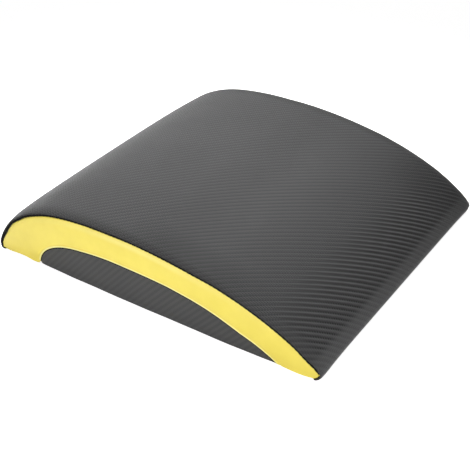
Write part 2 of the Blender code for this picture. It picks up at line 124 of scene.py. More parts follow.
class Flow:
    """A number, a colour or a vector that flows out of a node."""

    def __init__(self, socket):
        self.socket = socket

    def math(self, operation, *others):
        return math_node(self.socket.id_data, operation, self, *others)

    def __add__(self, other):
        return self.math("ADD", other)

    def __sub__(self, other):
        return self.math("SUBTRACT", other)

    def __rsub__(self, other):
        return math_node(self.socket.id_data, "SUBTRACT", other, self)

    def __mul__(self, other):
        return self.math("MULTIPLY", other)

    def __truediv__(self, other):
        return self.math("DIVIDE", other)

    def __pow__(self, other):
        return self.math("POWER", other)

    def __abs__(self):
        return self.math("ABSOLUTE")

    def ramp(self, low, high, to_low=0.0, to_high=1.0):
        """Runs smoothly from one value at low to another at high."""
        inputs = dict(enumerate((self, low, high, to_low, to_high)))
        settings = {"interpolation_type": "SMOOTHSTEP"}
        node = add_node(self.socket.id_data, "ShaderNodeMapRange", settings, inputs)
        return Flow(node.outputs[0])


# %% Wiring of a tree
class Wiring:
    """Adds nodes to a tree, and feeds the node that ends it."""

    def __init__(self, tree, end):
        self.tree, self.end = tree, end

    def node(self, kind, inputs=(), **settings):
        """What flows out of a new node, by name."""
        node = add_node(self.tree, kind, settings, dict(inputs))
        return {output.name: Flow(output) for output in node.outputs}

    def group(self, group, **values):
        inputs = {name.replace("_", " "): value for name, value in values.items()}
        return self.node("ShaderNodeGroup", inputs, node_tree=group)

    def give(self, **values):
        """Feeds the last node of the tree."""
        for name, value in values.items():
            plug(value, self.end[name.replace("_", " ")])

    def mix(self, factor, a, b):
        """Goes from a to b, two colours or two numbers, as the factor goes from 0 to 1."""
        kind, first, out = ("RGBA", 6, 2) if isinstance(b, tuple) else ("FLOAT", 2, 0)
        inputs = {0: factor, first: a, first + 1: b}
        return Flow(add_node(self.tree, "ShaderNodeMix", {"data_type": kind}, inputs).outputs[out])

    def noise(self, place, scale, detail=2.0, roughness=0.5):
        inputs = {"Vector": place, "Scale": scale, "Detail": detail, "Roughness": roughness}
        return self.node("ShaderNodeTexNoise", inputs)["Fac"]

    def split(self, vector):
        return self.node("ShaderNodeSeparateXYZ", {0: vector})

    def bump(self, height, distance, strength=1.0, **normal):
        """The normal that a relief gives, on top of another normal if one is given."""
        inputs = {"Height": height, "Distance": distance, "Strength": strength, **normal}
        return self.node("ShaderNodeBump", inputs)["Normal"]

    def cut_place(self):
        """The place on the flat cut of a panel, in metres."""
        return self.node("ShaderNodeUVMap", uv_map="cut")["UV"]

    def object_place(self):
        return self.node("ShaderNodeTexCoord")["Object"]

    def seen_directly(self):
        """1 for rays that look at the background itself: from the camera, or off a gloss."""
        path = self.node("ShaderNodeLightPath")
        seen = path["Is Camera Ray"].math("MAXIMUM", path["Is Glossy Ray"])
        return seen.math("MAXIMUM", path["Is Transmission Ray"])


def new_finish(name, roughness, **constants):
    """A material and its wiring; roughness is its middle value, for programs that read no nodes."""
    material = bpy.data.materials.new(name)
    material.use_nodes = True
    w = Wiring(material.node_tree, material.node_tree.nodes["Principled BSDF"].inputs)
    w.give(Roughness=roughness, **constants)
    return material, w


# %% [markdown]
# ## Floor and light
# The photograph was taken in a white studio. The floor is a wide pale sheet. To a camera ray it
# adds a little light of its own, so that it reads as white paper and still shows the shadow of the
# mat. The room looks white too but gives hardly any light, because an even light would wash out
# the ribs of the vinyl. Five soft lights stand near the mat instead: two low ones at the near side
# and the front, which rake over the ribs, and three high ones behind.

# %% Floor
WHITE = (1, 1, 1, 1)
FLOOR_WHITE = (0.86, 0.86, 0.86, 1)
FLOOR_GLOW = 0.95
FLOOR_LEVEL = -0.0004
FLOOR_HALF = 4

paper, w = new_finish(
    "studio_floor", 0.9, Base_Color=FLOOR_WHITE, Specular_IOR_Level=0.2, Emission_Color=WHITE
)
w.give(Emission_Strength=w.seen_directly() * FLOOR_GLOW)
floor_shape = bmesh.new()
bmesh.ops.create_grid(floor_shape, x_segments=8, y_segments=8, size=FLOOR_HALF)
floor_mesh = bpy.data.meshes.new("studio_floor")
floor_shape.to_mesh(floor_mesh)
floor_shape.free()
floor = new_object("studio_floor", floor_mesh)
floor.location.z = FLOOR_LEVEL
floor.data.materials.append(paper)
print("floor", [round(d, 1) for d in floor.dimensions[:2]], "m")

# %% Light
ROOM_LIGHT = 0.03
MIDDLE = (0, 0, 0)
BACK_END = (-0.12, -0.04, 0.05)
TOP = (-0.05, 0.02, 0.06)
LIGHTS = (
    # name, distance, azimuth from the front end, elevation, aim, width, spread, watts
    ("near_front", 0.6, 331, 10, MIDDLE, 0.20, 180, 0.80),
    ("near_side", 0.6, 270, 8, MIDDLE, 0.16, 180, 1.18),
    ("back_near", 1.0, 165, 52, BACK_END, 0.45, 50, 0.88),
    ("back_far", 1.0, 105, 40, BACK_END, 0.45, 50, 0.24),
    ("above", 1.0, 122, 60, TOP, 0.45, 40, 0.71),
)


def soft_light(name, distance, azimuth, elevation, aim, width, spread, watts):
    """An area light on a sphere round the mat, turned to what it is aimed at."""
    data = bpy.data.lights.new(name, "AREA")
    data.shape = "SQUARE"
    data.size = width
    data.spread = math.radians(spread)
    data.energy = watts
    light = new_object(name, data)
    turn, rise = math.radians(azimuth), math.radians(elevation)
    level = math.cos(rise)
    towards = Vector((math.cos(turn) * level, math.sin(turn) * level, math.sin(rise)))
    light.location = distance * towards
    light.rotation_euler = (Vector(aim) - light.location).to_track_quat("-Z", "Y").to_euler()
    light.visible_camera = False


world = bpy.data.worlds.new("white_room")
bpy.context.scene.world = world
world.use_nodes = True
w = Wiring(world.node_tree, world.node_tree.nodes["Background"].inputs)
w.give(Color=WHITE, Strength=w.mix(w.seen_directly(), ROOM_LIGHT, 1.0))
for light in LIGHTS:
    soft_light(*light)

# %% [markdown]
# ## Node groups: grain, twill, weave and wear
# Several finishes share an effect, so each effect is one node group with named sockets. The twill
# could be an image, but then its scale and direction would be fixed in pixels. Here it is built
# from its own rule: tows of equal width cross at right angles, each passes over two and under
# two, and every row steps one along. That step is what draws the slanting ribs.

# %% A helper that builds node groups
def new_group(name, place, numbers, outputs):
    """An empty group that is given a place and some numbers, its wiring and what it is given."""
    group = bpy.data.node_groups.new(name, "ShaderNodeTree")
    group.interface.new_socket(place, in_out="INPUT", socket_type="NodeSocketVector")
    for number, default in numbers.items():
        socket = group.interface.new_socket(number, in_out="INPUT", socket_type="NodeSocketFloat")
        socket.default_value = default
    for output in outputs:
        group.interface.new_socket(output, in_out="OUTPUT", socket_type="NodeSocketFloat")
    w = Wiring(group, group.nodes.new("NodeGroupOutput").inputs)
    return group, w, w.node("NodeGroupInput")


# %% Group: twill
TOW_WIDTH = 0.00177
ROUND_POWER, ROUND_DROP = 2.4, 4.6
VALLEY_POWER = 3.2
DOT_MIDDLE, DOT_SWING = 0.60, 0.40
OVERLAP = 0.12
QUARTER_TURN = math.pi / 2

sockets = ("Height", "Lengthwise", "Gap", "Valley")
numbers = {"Tow Width": TOW_WIDTH, "Turn": 0.0, "Rib": 0.45}
twill, w, given = new_group("Twill", "Cloth", numbers, sockets)
turning = {"Vector": given["Cloth"], "Angle": given["Turn"]}
turned = w.split(w.node("ShaderNodeVectorRotate", turning, rotation_type="Z_AXIS")["Vector"])
along = turned["X"] / given["Tow Width"]
across = turned["Y"] / given["Tow Width"]
column, row = along.math("FLOOR"), across.math("FLOOR")


def tow_height(run, step, offset, side, cell):
    """A tow's height: it rises and dives along its run, and is round across its width."""
    wave = ((run - step - offset) * QUARTER_TURN).math("COSINE")
    from_middle = abs(side - cell - 0.5)
    return wave * 0.5 + (1.0 - from_middle**ROUND_POWER * ROUND_DROP) * 0.5


lengthwise = tow_height(along, row, 1.0, across, row)
crosswise = tow_height(across, column, 2.0, along, column)
height = lengthwise.math("SMOOTH_MAX", crosswise, OVERLAP)
rib = ((along - across - 0.5) * QUARTER_TURN).math("COSINE")
# The last output is painted shade: it darkens the valleys between the ribs, in beads, where shade
# would fall.
low = ((1.0 - rib) * 0.5) ** VALLEY_POWER
dots = ((along + across + 0.5) * math.pi).math("COSINE") * DOT_SWING + DOT_MIDDLE
w.give(
    Height=height + rib * given["Rib"],
    Lengthwise=(lengthwise - crosswise).ramp(-OVERLAP, OVERLAP),
    Gap=height.ramp(0.1, 0.62, 1.0, 0.0),
    Valley=low * dots * given["Rib"],
)
print("group", twill.name, len(twill.nodes), "nodes")

# %% Groups: vinyl grain and handling marks
numbers = {"Cells Per Metre": 1900.0}
vinyl_grain, w, given = new_group("Vinyl grain", "Place", numbers, ("Height", "Mottle"))
place, pitch = given["Place"], given["Cells Per Metre"]
inputs = {"Vector": place, "Scale": pitch, "Smoothness": 0.5}
cells = w.node("ShaderNodeTexVoronoi", inputs, feature="SMOOTH_F1")["Distance"]
fine = w.noise(place, pitch * 0.35, 3.0)
w.give(Height=cells * 0.6 + fine * 0.5, Mottle=w.noise(place, 38.0, 3.0, 0.55))

handling, w, given = new_group("Handling marks", "Place", {"Amount": 0.5}, ("Smudge", "Scuff"))
place = given["Place"]
inputs = {"Vector": place, "Scale": (1.0, 7.0, 3.0), "Rotation": (0.2, 0.1, 0.6)}
streaks = w.node("ShaderNodeMapping", inputs)["Vector"]
w.give(
    Smudge=w.noise(place, 17.0, 4.0, 0.6).ramp(0.42, 0.72) * given["Amount"],
    Scuff=w.noise(streaks, 60.0, 5.0, 0.7).ramp(0.66, 0.8) * given["Amount"],
)
print("groups", {group.name: len(group.nodes) for group in (vinyl_grain, handling)}, "nodes")

# %% Groups: plain weave and worn edges
numbers = {"Yarns Per Metre": 1600.0}
plain_weave, w, given = new_group("Plain weave", "Cloth", numbers, ("Height", "Gap"))
cloth = w.split(given["Cloth"])
waves = [(cloth[axis] * given["Yarns Per Metre"] * math.pi).math("SINE") for axis in "XY"]
over = waves[0] * waves[1]
round_x, round_y = [abs(wave) for wave in waves]
yarns = (round_x * over.ramp(-0.2, 0.2)).math("MAXIMUM", round_y * over.ramp(0.2, -0.2))
w.give(Height=yarns, Gap=(round_x * round_y).ramp(0.0, 0.35, 1.0, 0.0))

numbers = {"Edge Width": 0.0004, "Patchiness": 900.0}
worn_edges, w, given = new_group("Worn edges", "Place", numbers, ("Mask",))
rounded = w.node("ShaderNodeBevel", {"Radius": given["Edge Width"]}, samples=4)["Normal"]
flat = w.node("ShaderNodeNewGeometry")["Normal"]
agree = w.node("ShaderNodeVectorMath", {0: rounded, 1: flat}, operation="DOT_PRODUCT")["Value"]
patches = w.noise(given["Place"], given["Patchiness"], 3.0, 0.6).ramp(0.38, 0.62)
w.give(Mask=agree.ramp(0.98, 0.8) * patches)
print("groups", {group.name: len(group.nodes) for group in (plain_weave, worn_edges)}, "nodes")

# %% [markdown]
# ## Finishes
# Every finish is a Principled shader fed by these groups. The dark vinyl is one sheet material
# with a twill pressed into it, laid out in metres on the flat cut of each panel, which keeps the
# ribs 5 mm apart everywhere. One recipe makes its two finishes: over the arch the ribs are deep
# where the vinyl lies loose, and flat where it is drawn tight; on the half-moons they are all flat.

# %% Where the vinyl of the arch changes, and where shade and light are painted on it
RIB_TOP, RIB_LOW, RIB_FRONT = 0.20, 0.07, 0.98
SEAM_AT = 0.1562
# Each fade goes from one value to another between two places on the flat cut: x in metres from
# the highest line (the front edge lies at 0.213), y from the middle (the near side is negative),
# and aside, the same on both sides of the middle.
FADES = {
    "ribs_top": ("x", 0.0, 0.07, RIB_TOP, RIB_LOW),
    "ribs_front": ("x", 0.138, 0.200, 0.0, RIB_FRONT),
    "ribs_edge": ("x", 0.204, 0.213, 1.0, 0.15),
    "ribs_seam": ("aside", SEAM_AT - 0.018, SEAM_AT - 0.005, 1.0, 0.2),
    "tows_top": ("x", 0.03, 0.08, 1.25, 0.65),
    "tows_front": ("x", 0.130, 0.175, 0.0, 0.35),
    # Below: painted light on the front edge, painted shade at the seams, near side and far front
    # corner.
    "painted_light_edge": ("x", 0.204, 0.211, 0.0, 0.28),
    "painted_seam_shade": ("aside", SEAM_AT - 0.016, SEAM_AT - 0.002, 0.0, 1.0),
    "painted_seam_shade_end": ("x", 0.08, 0.17, 0.42, 0.0),
    "near_side": ("y", -0.110, -0.142, 0.0, 1.0),
    "near_side_start": ("x", -0.03, 0.05, 0.0, 1.0),
    "near_side_end": ("x", 0.09, 0.17, 0.24, 0.0),
    "corner_far": ("y", 0.07, 0.13, 0.0, 1.0),
    "corner_front": ("x", 0.11, 0.17, 0.0, 1.0),
}
CORNER_RIBS, CORNER_SHADE = 0.55, 0.26


def arch_relief(x, y, mix):
    """How deep the ribs and tows are over the arch, and where shade and light are painted on it."""
    places = {"x": x, "y": y, "aside": abs(y)}
    fade = {name: places[place].ramp(*numbers) for name, (place, *numbers) in FADES.items()}
    corner = fade["corner_far"] * fade["corner_front"]
    rib = (fade["ribs_top"] + fade["ribs_front"]) * fade["ribs_edge"] * fade["ribs_seam"]
    # Painted shade: darker into the seams, on the near side of the top and at the far front corner.
    near = fade["near_side"] * (fade["near_side_start"] * fade["near_side_end"])
    dark = (fade["painted_seam_shade"] * fade["painted_seam_shade_end"]).math("MAXIMUM", near)
    dark = dark.math("MAXIMUM", corner * CORNER_SHADE)
    tows = fade["tows_top"] + fade["tows_front"]
    return rib * mix(corner, 1.0, CORNER_RIBS), tows, dark, fade["painted_light_edge"]


def flat_relief(x, y, mix):
    return RIB_LOW, 0.6, 0.0, 0.0


# %% Finish: dark twill vinyl
TWILL_TURN = math.radians(-1.6)
# Painted shade goes towards nearly black, and painted light on the front edge towards a lighter
# grey.
NEARLY_BLACK = (0.008, 0.008, 0.008, 1)
PAINTED_LIGHT_GREY = (0.14, 0.14, 0.14, 1)


def grey(value, blue=0.0):
    return (value, value, value + blue, 1)


def twill_vinyl(name, depth, greys, gaps, relief):
    """The dark vinyl: greys of the crosswise tows, the lengthwise tows and the gaps between."""
    material, w = new_finish(name, 0.38, Specular_IOR_Level=0.05)
    cloth, where = w.cut_place(), w.object_place()
    spot = w.split(cloth)
    rib, tow, dark, painted_light = relief(spot["X"], spot["Y"], w.mix)
    tows = w.group(twill, Cloth=cloth, Tow_Width=TOW_WIDTH, Turn=TWILL_TURN, Rib=rib)
    grain = w.group(vinyl_grain, Place=where, Cells_Per_Metre=3200.0)
    marks = w.group(handling, Place=where, Amount=0.6)
    crosswise, lengthwise, gap = [grey(value, 0.001) for value in greys]
    base = w.mix(tows["Lengthwise"], crosswise, lengthwise)
    base = w.mix(tows["Gap"] * gaps, base, gap)
    base = w.mix(grain["Mottle"] * 0.2, base, lengthwise)
    # Painted shade: the rib valleys, and over the arch the seams, the near side and the far front
    # corner.
    base = w.mix(tows["Valley"].math("MAXIMUM", dark), base, NEARLY_BLACK)
    pressed = w.bump(tows["Height"] * tow, depth)
    # Painted light: the front edge of the arch goes towards a lighter grey.
    w.give(
        Base_Color=w.mix(painted_light, base, PAINTED_LIGHT_GREY),
        Roughness=tows["Lengthwise"] * 0.06 + 0.34 + marks["Smudge"] * 0.07,
        Normal=w.bump(grain["Height"], 0.00002, 0.5, Normal=pressed),
    )
    return material


dark_vinyl = twill_vinyl("dark_twill_vinyl", 0.00060, (0.060, 0.079, 0.019), 0.75, arch_relief)
# The half-moons are the same vinyl as the arch; their lighter greys are painted light on the sides.
dark_insert = twill_vinyl("dark_twill_insert", 0.00018, (0.068, 0.078, 0.036), 0.34, flat_relief)

# %% Finish: yellow vinyl
yellow_vinyl, w = new_finish("yellow_vinyl", 0.42, Specular_IOR_Level=0.6)
where = w.object_place()
grain = w.group(vinyl_grain, Place=where, Cells_Per_Metre=1500.0)
marks = w.group(handling, Place=where, Amount=0.5)
base = w.mix(grain["Mottle"].ramp(0.3, 0.7), (0.82, 0.670, 0.074, 1), (0.86, 0.710, 0.092, 1))
base = w.mix(marks["Smudge"] * 0.10, base, (0.70, 0.52, 0.09, 1))
# Painted highlight: a mask kept on the crescents' points turns the yellow whitish along two bands.
painted_highlight = w.node("ShaderNodeAttribute", attribute_name="painted_highlight")["Fac"]
w.give(
    Base_Color=w.mix(painted_highlight, base, (0.95, 0.90, 0.42, 1)),
    Roughness=grain["Mottle"] * 0.12 + 0.38,
    Normal=w.bump(grain["Height"], 0.00006, 0.6),
)

# %% Finish: base cloth
GRIP_PITCH = 0.0042

base_cloth, w = new_finish("grip_base_cloth", 0.85, Sheen_Weight=0.15)
cloth = w.cut_place()
weave = w.group(plain_weave, Cloth=cloth, Yarns_Per_Metre=1150.0)
marks = w.group(handling, Place=w.object_place(), Amount=0.8)
inputs = {"Vector": cloth, "Randomness": 0.0, "Scale": 1 / GRIP_PITCH}
from_dot = w.node("ShaderNodeTexVoronoi", inputs, feature="F1")["Distance"]
dot = from_dot.ramp(0.22, 0.30, 1.0, 0.0)
base = w.mix(weave["Gap"] * 0.6, grey(0.024, 0.002), grey(0.008, 0.001))
base = w.mix(dot, base, grey(0.040, 0.002))
woven = w.bump(weave["Height"], 0.00012)
w.give(
    Base_Color=w.mix(marks["Scuff"] * 0.35, base, (0.09, 0.085, 0.08, 1)),
    Roughness=w.mix(dot, 0.9, 0.5),
    Normal=w.bump(from_dot.ramp(0.0, 0.32, 1.0, 0.0), 0.00035, Normal=woven),
)

# %% Finish: foam, zip tape, teeth and thread
foam, w = new_finish("foam", 0.95)
where = w.object_place()
inputs = {"Vector": where, "Scale": 700.0}
pore = w.node("ShaderNodeTexVoronoi", inputs, feature="F1")["Distance"].ramp(0.25, 0.5, 1.0, 0.0)
w.give(
    Base_Color=w.mix(pore, grey(0.21, 0.01), grey(0.09, 0.01)),
    Roughness=w.mix(w.noise(where, 30.0), 0.9, 1.0),
    Normal=w.bump(pore, -0.0003),
)

tape_cloth, w = new_finish("zip_tape", 0.75, Sheen_Weight=0.1)
weave = w.group(plain_weave, Cloth=w.cut_place(), Yarns_Per_Metre=2400.0)
w.give(
    Base_Color=w.mix(weave["Gap"], grey(0.022, 0.002), grey(0.006, 0.001)),
    Roughness=w.mix(weave["Gap"], 0.7, 0.9),
    Normal=w.bump(weave["Height"], 0.00006),
)

tooth_plastic, w = new_finish("moulded_teeth", 0.35)
where = w.object_place()
marks = w.group(handling, Place=where, Amount=1.0)
w.give(
    Base_Color=w.mix(marks["Scuff"], grey(0.018, 0.001), grey(0.05, 0.002)),
    Roughness=marks["Smudge"] * 0.2 + 0.30,
    Normal=w.bump(w.noise(where, 5200.0), 0.00001, 0.5),
)

# The tubes in the seams: black backing, and painted shade for the groove.
shaded_fold_cloth, w = new_finish("seam_backing_and_shade", 0.95, Specular_IOR_Level=0.1)
fibres = w.noise(w.object_place(), 2500.0, 3.0, 0.6)
w.give(
    Base_Color=w.mix(fibres, grey(0.004), grey(0.012)),
    Roughness=w.mix(fibres, 0.9, 1.0),
    Normal=w.bump(fibres, 0.00012),
)

thread, w = new_finish("sewing_thread", 0.6, Sheen_Weight=0.3)
inputs = {"Vector": w.object_place(), "Scale": 900.0}
bands = {"wave_type": "BANDS", "bands_direction": "DIAGONAL"}
twist = w.node("ShaderNodeTexWave", inputs, **bands)["Fac"]
w.give(
    Base_Color=w.mix(twist, grey(0.010, 0.001), grey(0.035, 0.002)),
    Roughness=w.mix(twist, 0.7, 0.5),
    Normal=w.bump(twist, 0.00008),
)

# %% Finish: painted metal of the zip
black_paint, w = new_finish("black_paint", 0.4)
where = w.object_place()
bare = w.group(worn_edges, Place=where, Edge_Width=0.0004)["Mask"]
marks = w.group(handling, Place=where, Amount=1.0)
w.give(
    Base_Color=w.mix(bare, grey(0.020, 0.002), (0.45, 0.44, 0.42, 1)),
    Metallic=bare,
    Roughness=w.mix(bare, 0.36, 0.28) + marks["Smudge"] * 0.15,
    Normal=w.bump(w.noise(where, 2600.0, 3.0), 0.00002, 0.4),
)
finishes = (dark_vinyl, dark_insert, yellow_vinyl, base_cloth, foam, tape_cloth)
finishes += (tooth_plastic, shaded_fold_cloth, thread, black_paint)
print("finishes:", [finish.name for finish in finishes])

# %% [markdown]
# ## The arch
# Seen from the side, the arch is lowest at the front, rises over 0.2 m to its highest line and
# drops in a much tighter bend at the back. Each side of that line follows one rule: the height
# falls as (1 - u^a)^(1/b), where u is the share of the way to the foot. Every panel is laid on
# this line, so that they all meet. A seam guided by hand wanders a little round it.

# %% The side profile
HALF_LENGTH = 0.185
HALF_WIDTH = 0.156
SIDE_HEIGHT = 0.073
CROWN = 0.002
PEAK_SETBACK = 0.019
END_ROLL = 0.0065
EDGE_ROLL = 0.0047
SEAM_INSET = 0.0042
YELLOW_INSET = 0.0047
TUCK = 0.015
FOOT = HALF_LENGTH - END_ROLL
BENDS = {-1: (3.5, 1.47), 1: (1.83, 1.57)}
CORNER_BENDS = {-1: 5.0, 1: 1.3}
# Places in mm along the mat, and how far in the seam lies there, in hundredths of its inset.
SEAM_PLACES = (-185, -182, -178, -171, -166, -160, -154, -147, -130, -117, -85, -60, -20)
SEAM_SHARES = (85, 112, 132, 118, 108, 120, 130, 120, 122, 111, 97, 84, 87)
SEAM_PLACES += (10, 35, 60, 80, 105, 120, 135, 150, 165, 171, 177, 182, 185)
SEAM_SHARES += (103, 114, 113, 90, 93, 100, 105, 112, 110, 124, 118, 85, 70)


def measured(x, places_mm, values, parts):
    """A value at x along the mat, between those read off the photograph in parts of a whole."""
    return np.interp(x, np.array(places_mm) / 1000, np.array(values) / parts)


def seam_share(x):
    return measured(x, SEAM_PLACES, SEAM_SHARES, 100)


def quarter(steps):
    """Shares of the way to a foot, closer together where the bend is steep."""
    return np.sin(np.linspace(0, np.pi / 2, steps + 1))


def arch_side(towards, shares, inset, rise):
    """Points (x, z) from the highest line to a foot, moved square to the outline by inset."""
    power, root = BENDS[towards]
    reach = HALF_LENGTH + towards * PEAK_SETBACK
    top = SIDE_HEIGHT + rise - END_ROLL
    left = np.maximum(1 - shares**power, 1e-12)
    steep = top * power / root * shares ** (power - 1) * left ** (1 / root - 1)
    long = np.hypot(reach, steep)
    inset = inset * seam_share(towards * reach * shares - PEAK_SETBACK)
    along = reach * shares - inset * steep / long
    height = top * left ** (1 / root) - inset * reach / long
    return np.column_stack([towards * along - PEAK_SETBACK, END_ROLL + np.maximum(height, 0)])


def arch_line(inset, rise=0.0, back_steps=400, front_steps=400):
    """Points (x, z) over the arch, from the back foot to the front foot."""
    back = arch_side(-1, quarter(back_steps), inset, rise)[:0:-1]
    return np.concatenate([back, arch_side(1, quarter(front_steps), inset, rise)])


def arch_section(inset, rise, lift, tuck, back_steps=70, front_steps=90, corner_steps=10):
    """The whole outline of a panel that goes over the arch and curls under both ends."""
    angle = np.linspace(0, np.pi / 2, corner_steps, endpoint=False)
    under = np.linspace(HALF_LENGTH - tuck, FOOT, 5, endpoint=False)
    corners = []
    for towards, low in zip((-1, 1), np.broadcast_to(lift, 2)):
        bend = 2 / (2 + (CORNER_BENDS[towards] - 2) * min(inset / SEAM_INSET, 1))
        roll = END_ROLL - inset * seam_share(towards * HALF_LENGTH)
        out = FOOT + roll * np.sin(angle) ** bend
        up = END_ROLL - (END_ROLL - low) * np.cos(angle) ** bend
        x = np.concatenate([under, out])
        z = np.concatenate([np.full(5, low), up])
        corners.append(np.column_stack([towards * x, z]))
    line = arch_line(inset, rise, back_steps, front_steps)
    return np.concatenate([corners[0], line, corners[1][::-1]])


def running_length(points):
    """How far along a line each of its points lies."""
    steps = np.linalg.norm(np.diff(points, axis=0), axis=1)
    return np.concatenate([[0], np.cumsum(steps)])


cover_line = arch_section(0, 0, 0, TUCK)
cover_length = running_length(cover_line)
print("vinyl over the arch, with its tucks:", round(1000 * cover_length[-1]), "mm")

# %% [markdown]
# A stuffed cover is not a plain extrusion of its side. The foam pushes the tall back end out
# between its two corners, by 6 mm, and the sides by one or two. At the front the corners stand
# out instead, as sewn corners do. One function makes these moves, and every sewn piece goes
# through it, so that they still meet. It also moves the mat to where its solids lie.

# %% Filled out by the foam
BACK_BOW = 0.0060
BOW_REACH = 0.085
NEAR_BOW = 0.0010
FAR_BOW = 0.0020
EAR_REACH = 0.025
EAR_OUT = 0.0024
EAR_LIFT = 0.0018
EAR_ROOT, EAR_HEIGHT = 0.002, 0.010
FAR_EAR = 0.55
FRONT_DIP = 0.0003
BACK_EAR = 0.0008
flat_half = HALF_WIDTH - EDGE_ROLL


def share_of(value, reach):
    """0 before a reach begins and 1 at its end."""
    return np.clip(value / reach, 0, 1)


def filled_out(points):
    x, y, z = points[..., 0], points[..., 1], points[..., 2]
    across = np.clip(1 - (y / flat_half) ** 4, 0, None)
    along = np.clip(1 - (x / HALF_LENGTH) ** 2, 0, None)
    back = np.clip(-x - HALF_LENGTH + BOW_REACH, 0, None) / BOW_REACH
    front = np.clip(x - HALF_LENGTH + BOW_REACH, 0, None) / BOW_REACH
    at_side = share_of(np.abs(y), HALF_WIDTH) ** 8
    ear = share_of(x - HALF_LENGTH + EAR_REACH, EAR_REACH) ** 2.5
    ear *= at_side * np.where(y > 0, FAR_EAR, 1.0)
    back_ear = share_of(-x - HALF_LENGTH + EAR_REACH, EAR_REACH) ** 1.5 * at_side
    moved = points.copy()
    moved[..., 0] = x + FORWARD - BACK_BOW * across * back**1.5
    moved[..., 0] += EAR_OUT * ear - FRONT_DIP * np.sqrt(across) * front**2 - BACK_EAR * back_ear
    moved[..., 1] = y * (1 + np.where(y > 0, FAR_BOW, NEAR_BOW) / HALF_WIDTH * along)
    moved[..., 2] = z + EAR_LIFT * ear * share_of(z - EAR_ROOT, EAR_HEIGHT)
    return moved


# %% Helpers that turn points into pieces
def grid_piece(name, points, cut, flip=False):
    """A skin of quads over rows and columns of points, with its flat cut as a UV map in metres."""
    rows, columns = points.shape[:2]
    number = np.arange(rows * columns).reshape(rows, columns)
    corners = [number[:-1, :-1], number[1:, :-1], number[1:, 1:], number[:-1, 1:]]
    if flip:
        corners = corners[::-1]
    faces = np.stack(corners, axis=-1).reshape(-1, 4)
    mesh = bpy.data.meshes.new(name)
    mesh.from_pydata(points.reshape(-1, 3).tolist(), [], faces.tolist())
    layer = mesh.uv_layers.new(name="cut")
    layer.data.foreach_set("uv", cut.reshape(-1, 2)[faces.ravel()].astype(np.float32).ravel())
    mesh.shade_smooth()
    return new_object(name, mesh)


def thicken(piece, thickness):
    """Gives a skin its thickness on the inner side, as its own mesh."""
    sheet = piece.modifiers.new("Thickness", "SOLIDIFY")
    sheet.thickness = thickness
    sheet.offset = -1
    graph = bpy.context.evaluated_depsgraph_get()
    made = bpy.data.meshes.new_from_object(piece.evaluated_get(graph))
    made.name = piece.name
    piece.modifiers.clear()
    piece.data = made


def closed_tubes(name, tubes):
    """A piece of tubes, each a list of rings with equally many points, closed at both ends."""
    points, faces = [], []
    for rings in tubes:
        start, sides = len(points), len(rings[0])
        for ring in rings:
            points.extend(ring)
        for i in range(len(rings) - 1):
            for k in range(sides):
                a = start + i * sides + k
                b = start + i * sides + (k + 1) % sides
                faces.append((a, b, b + sides, a + sides))
        faces.append([start + k for k in range(sides)][::-1])
        faces.append([start + (len(rings) - 1) * sides + k for k in range(sides)])
    shape = bmesh.new()
    corners = [shape.verts.new(point) for point in points]
    for face in faces:
        shape.faces.new([corners[i] for i in face])
    bmesh.ops.recalc_face_normals(shape, faces=shape.faces)
    mesh = bpy.data.meshes.new(name)
    shape.to_mesh(mesh)
    shape.free()
    mesh.shade_smooth()
    return new_object(name, mesh)


def wear_finish(piece, material):
    piece.data.materials.clear()
    piece.data.materials.append(material)
    return piece


def area_of(piece):
    return sum(face.area for face in piece.data.polygons)


def tell(*pieces):
    for piece in pieces:
        print(piece.name, len(piece.data.polygons), "faces")


def tell_sheets(*sheets):
    tell(*sheets)
    print("of", [round(area_of(sheet) / 2, 4) for sheet in sheets], "square metres")


# %% [markdown]
# ## The cover of the arch
# One sheet of vinyl runs from under the back edge over the arch to under the front edge. Its long
# edges roll over to the side seams and turn in there. It could be one smooth loft, but a sewn
# sheet is never quite smooth: it puckers at each stitch, most of all at the tight front corners,
# and the foam below lets it wander by fractions of a millimetre. These moves are added to the
# points, square to the surface, before the sheet gets its thickness. What lies under the mat is
# pressed flat on the floor.

# %% Unevenness
def wander(shape_points, wavelength, seed):
    """A slow, smooth unevenness between -1 and 1 over a set of points."""
    local = np.random.default_rng(seed)
    total = np.zeros(shape_points.shape[:-1])
    for _ in range(7):
        direction = local.normal(size=3)
        direction /= np.linalg.norm(direction)
        pitch = wavelength * local.uniform(0.6, 1.7)
        total += np.sin(shape_points @ direction * 2 * np.pi / pitch + local.uniform(0, 2 * np.pi))
    return total / 7 * 1.6


def surface_normals(points):
    normal = np.cross(np.gradient(points, axis=0), np.gradient(points, axis=1))
    return normal / np.maximum(np.linalg.norm(normal, axis=-1, keepdims=True), 1e-12)


def fade(distance, reach):
    """1 at a seam and less and less away from it."""
    return np.exp(-distance / reach)


def hump(value, middle, half):
    """1 in the middle of a hump and less and less on both sides of it."""
    return np.exp(-(((value - middle) / half) ** 2))


def stitches_along(length):
    """A wave with its crest at every stitch of a seam."""
    return np.cos(2 * np.pi * length / STITCH)


# %% Edges of the cover
VINYL = 0.0009
STITCH = 0.0046
WELT = 0.0006
LIP_INSET = 0.0029
NEAR_ROLL = 0.0180
FAR_ROLL = 0.0100


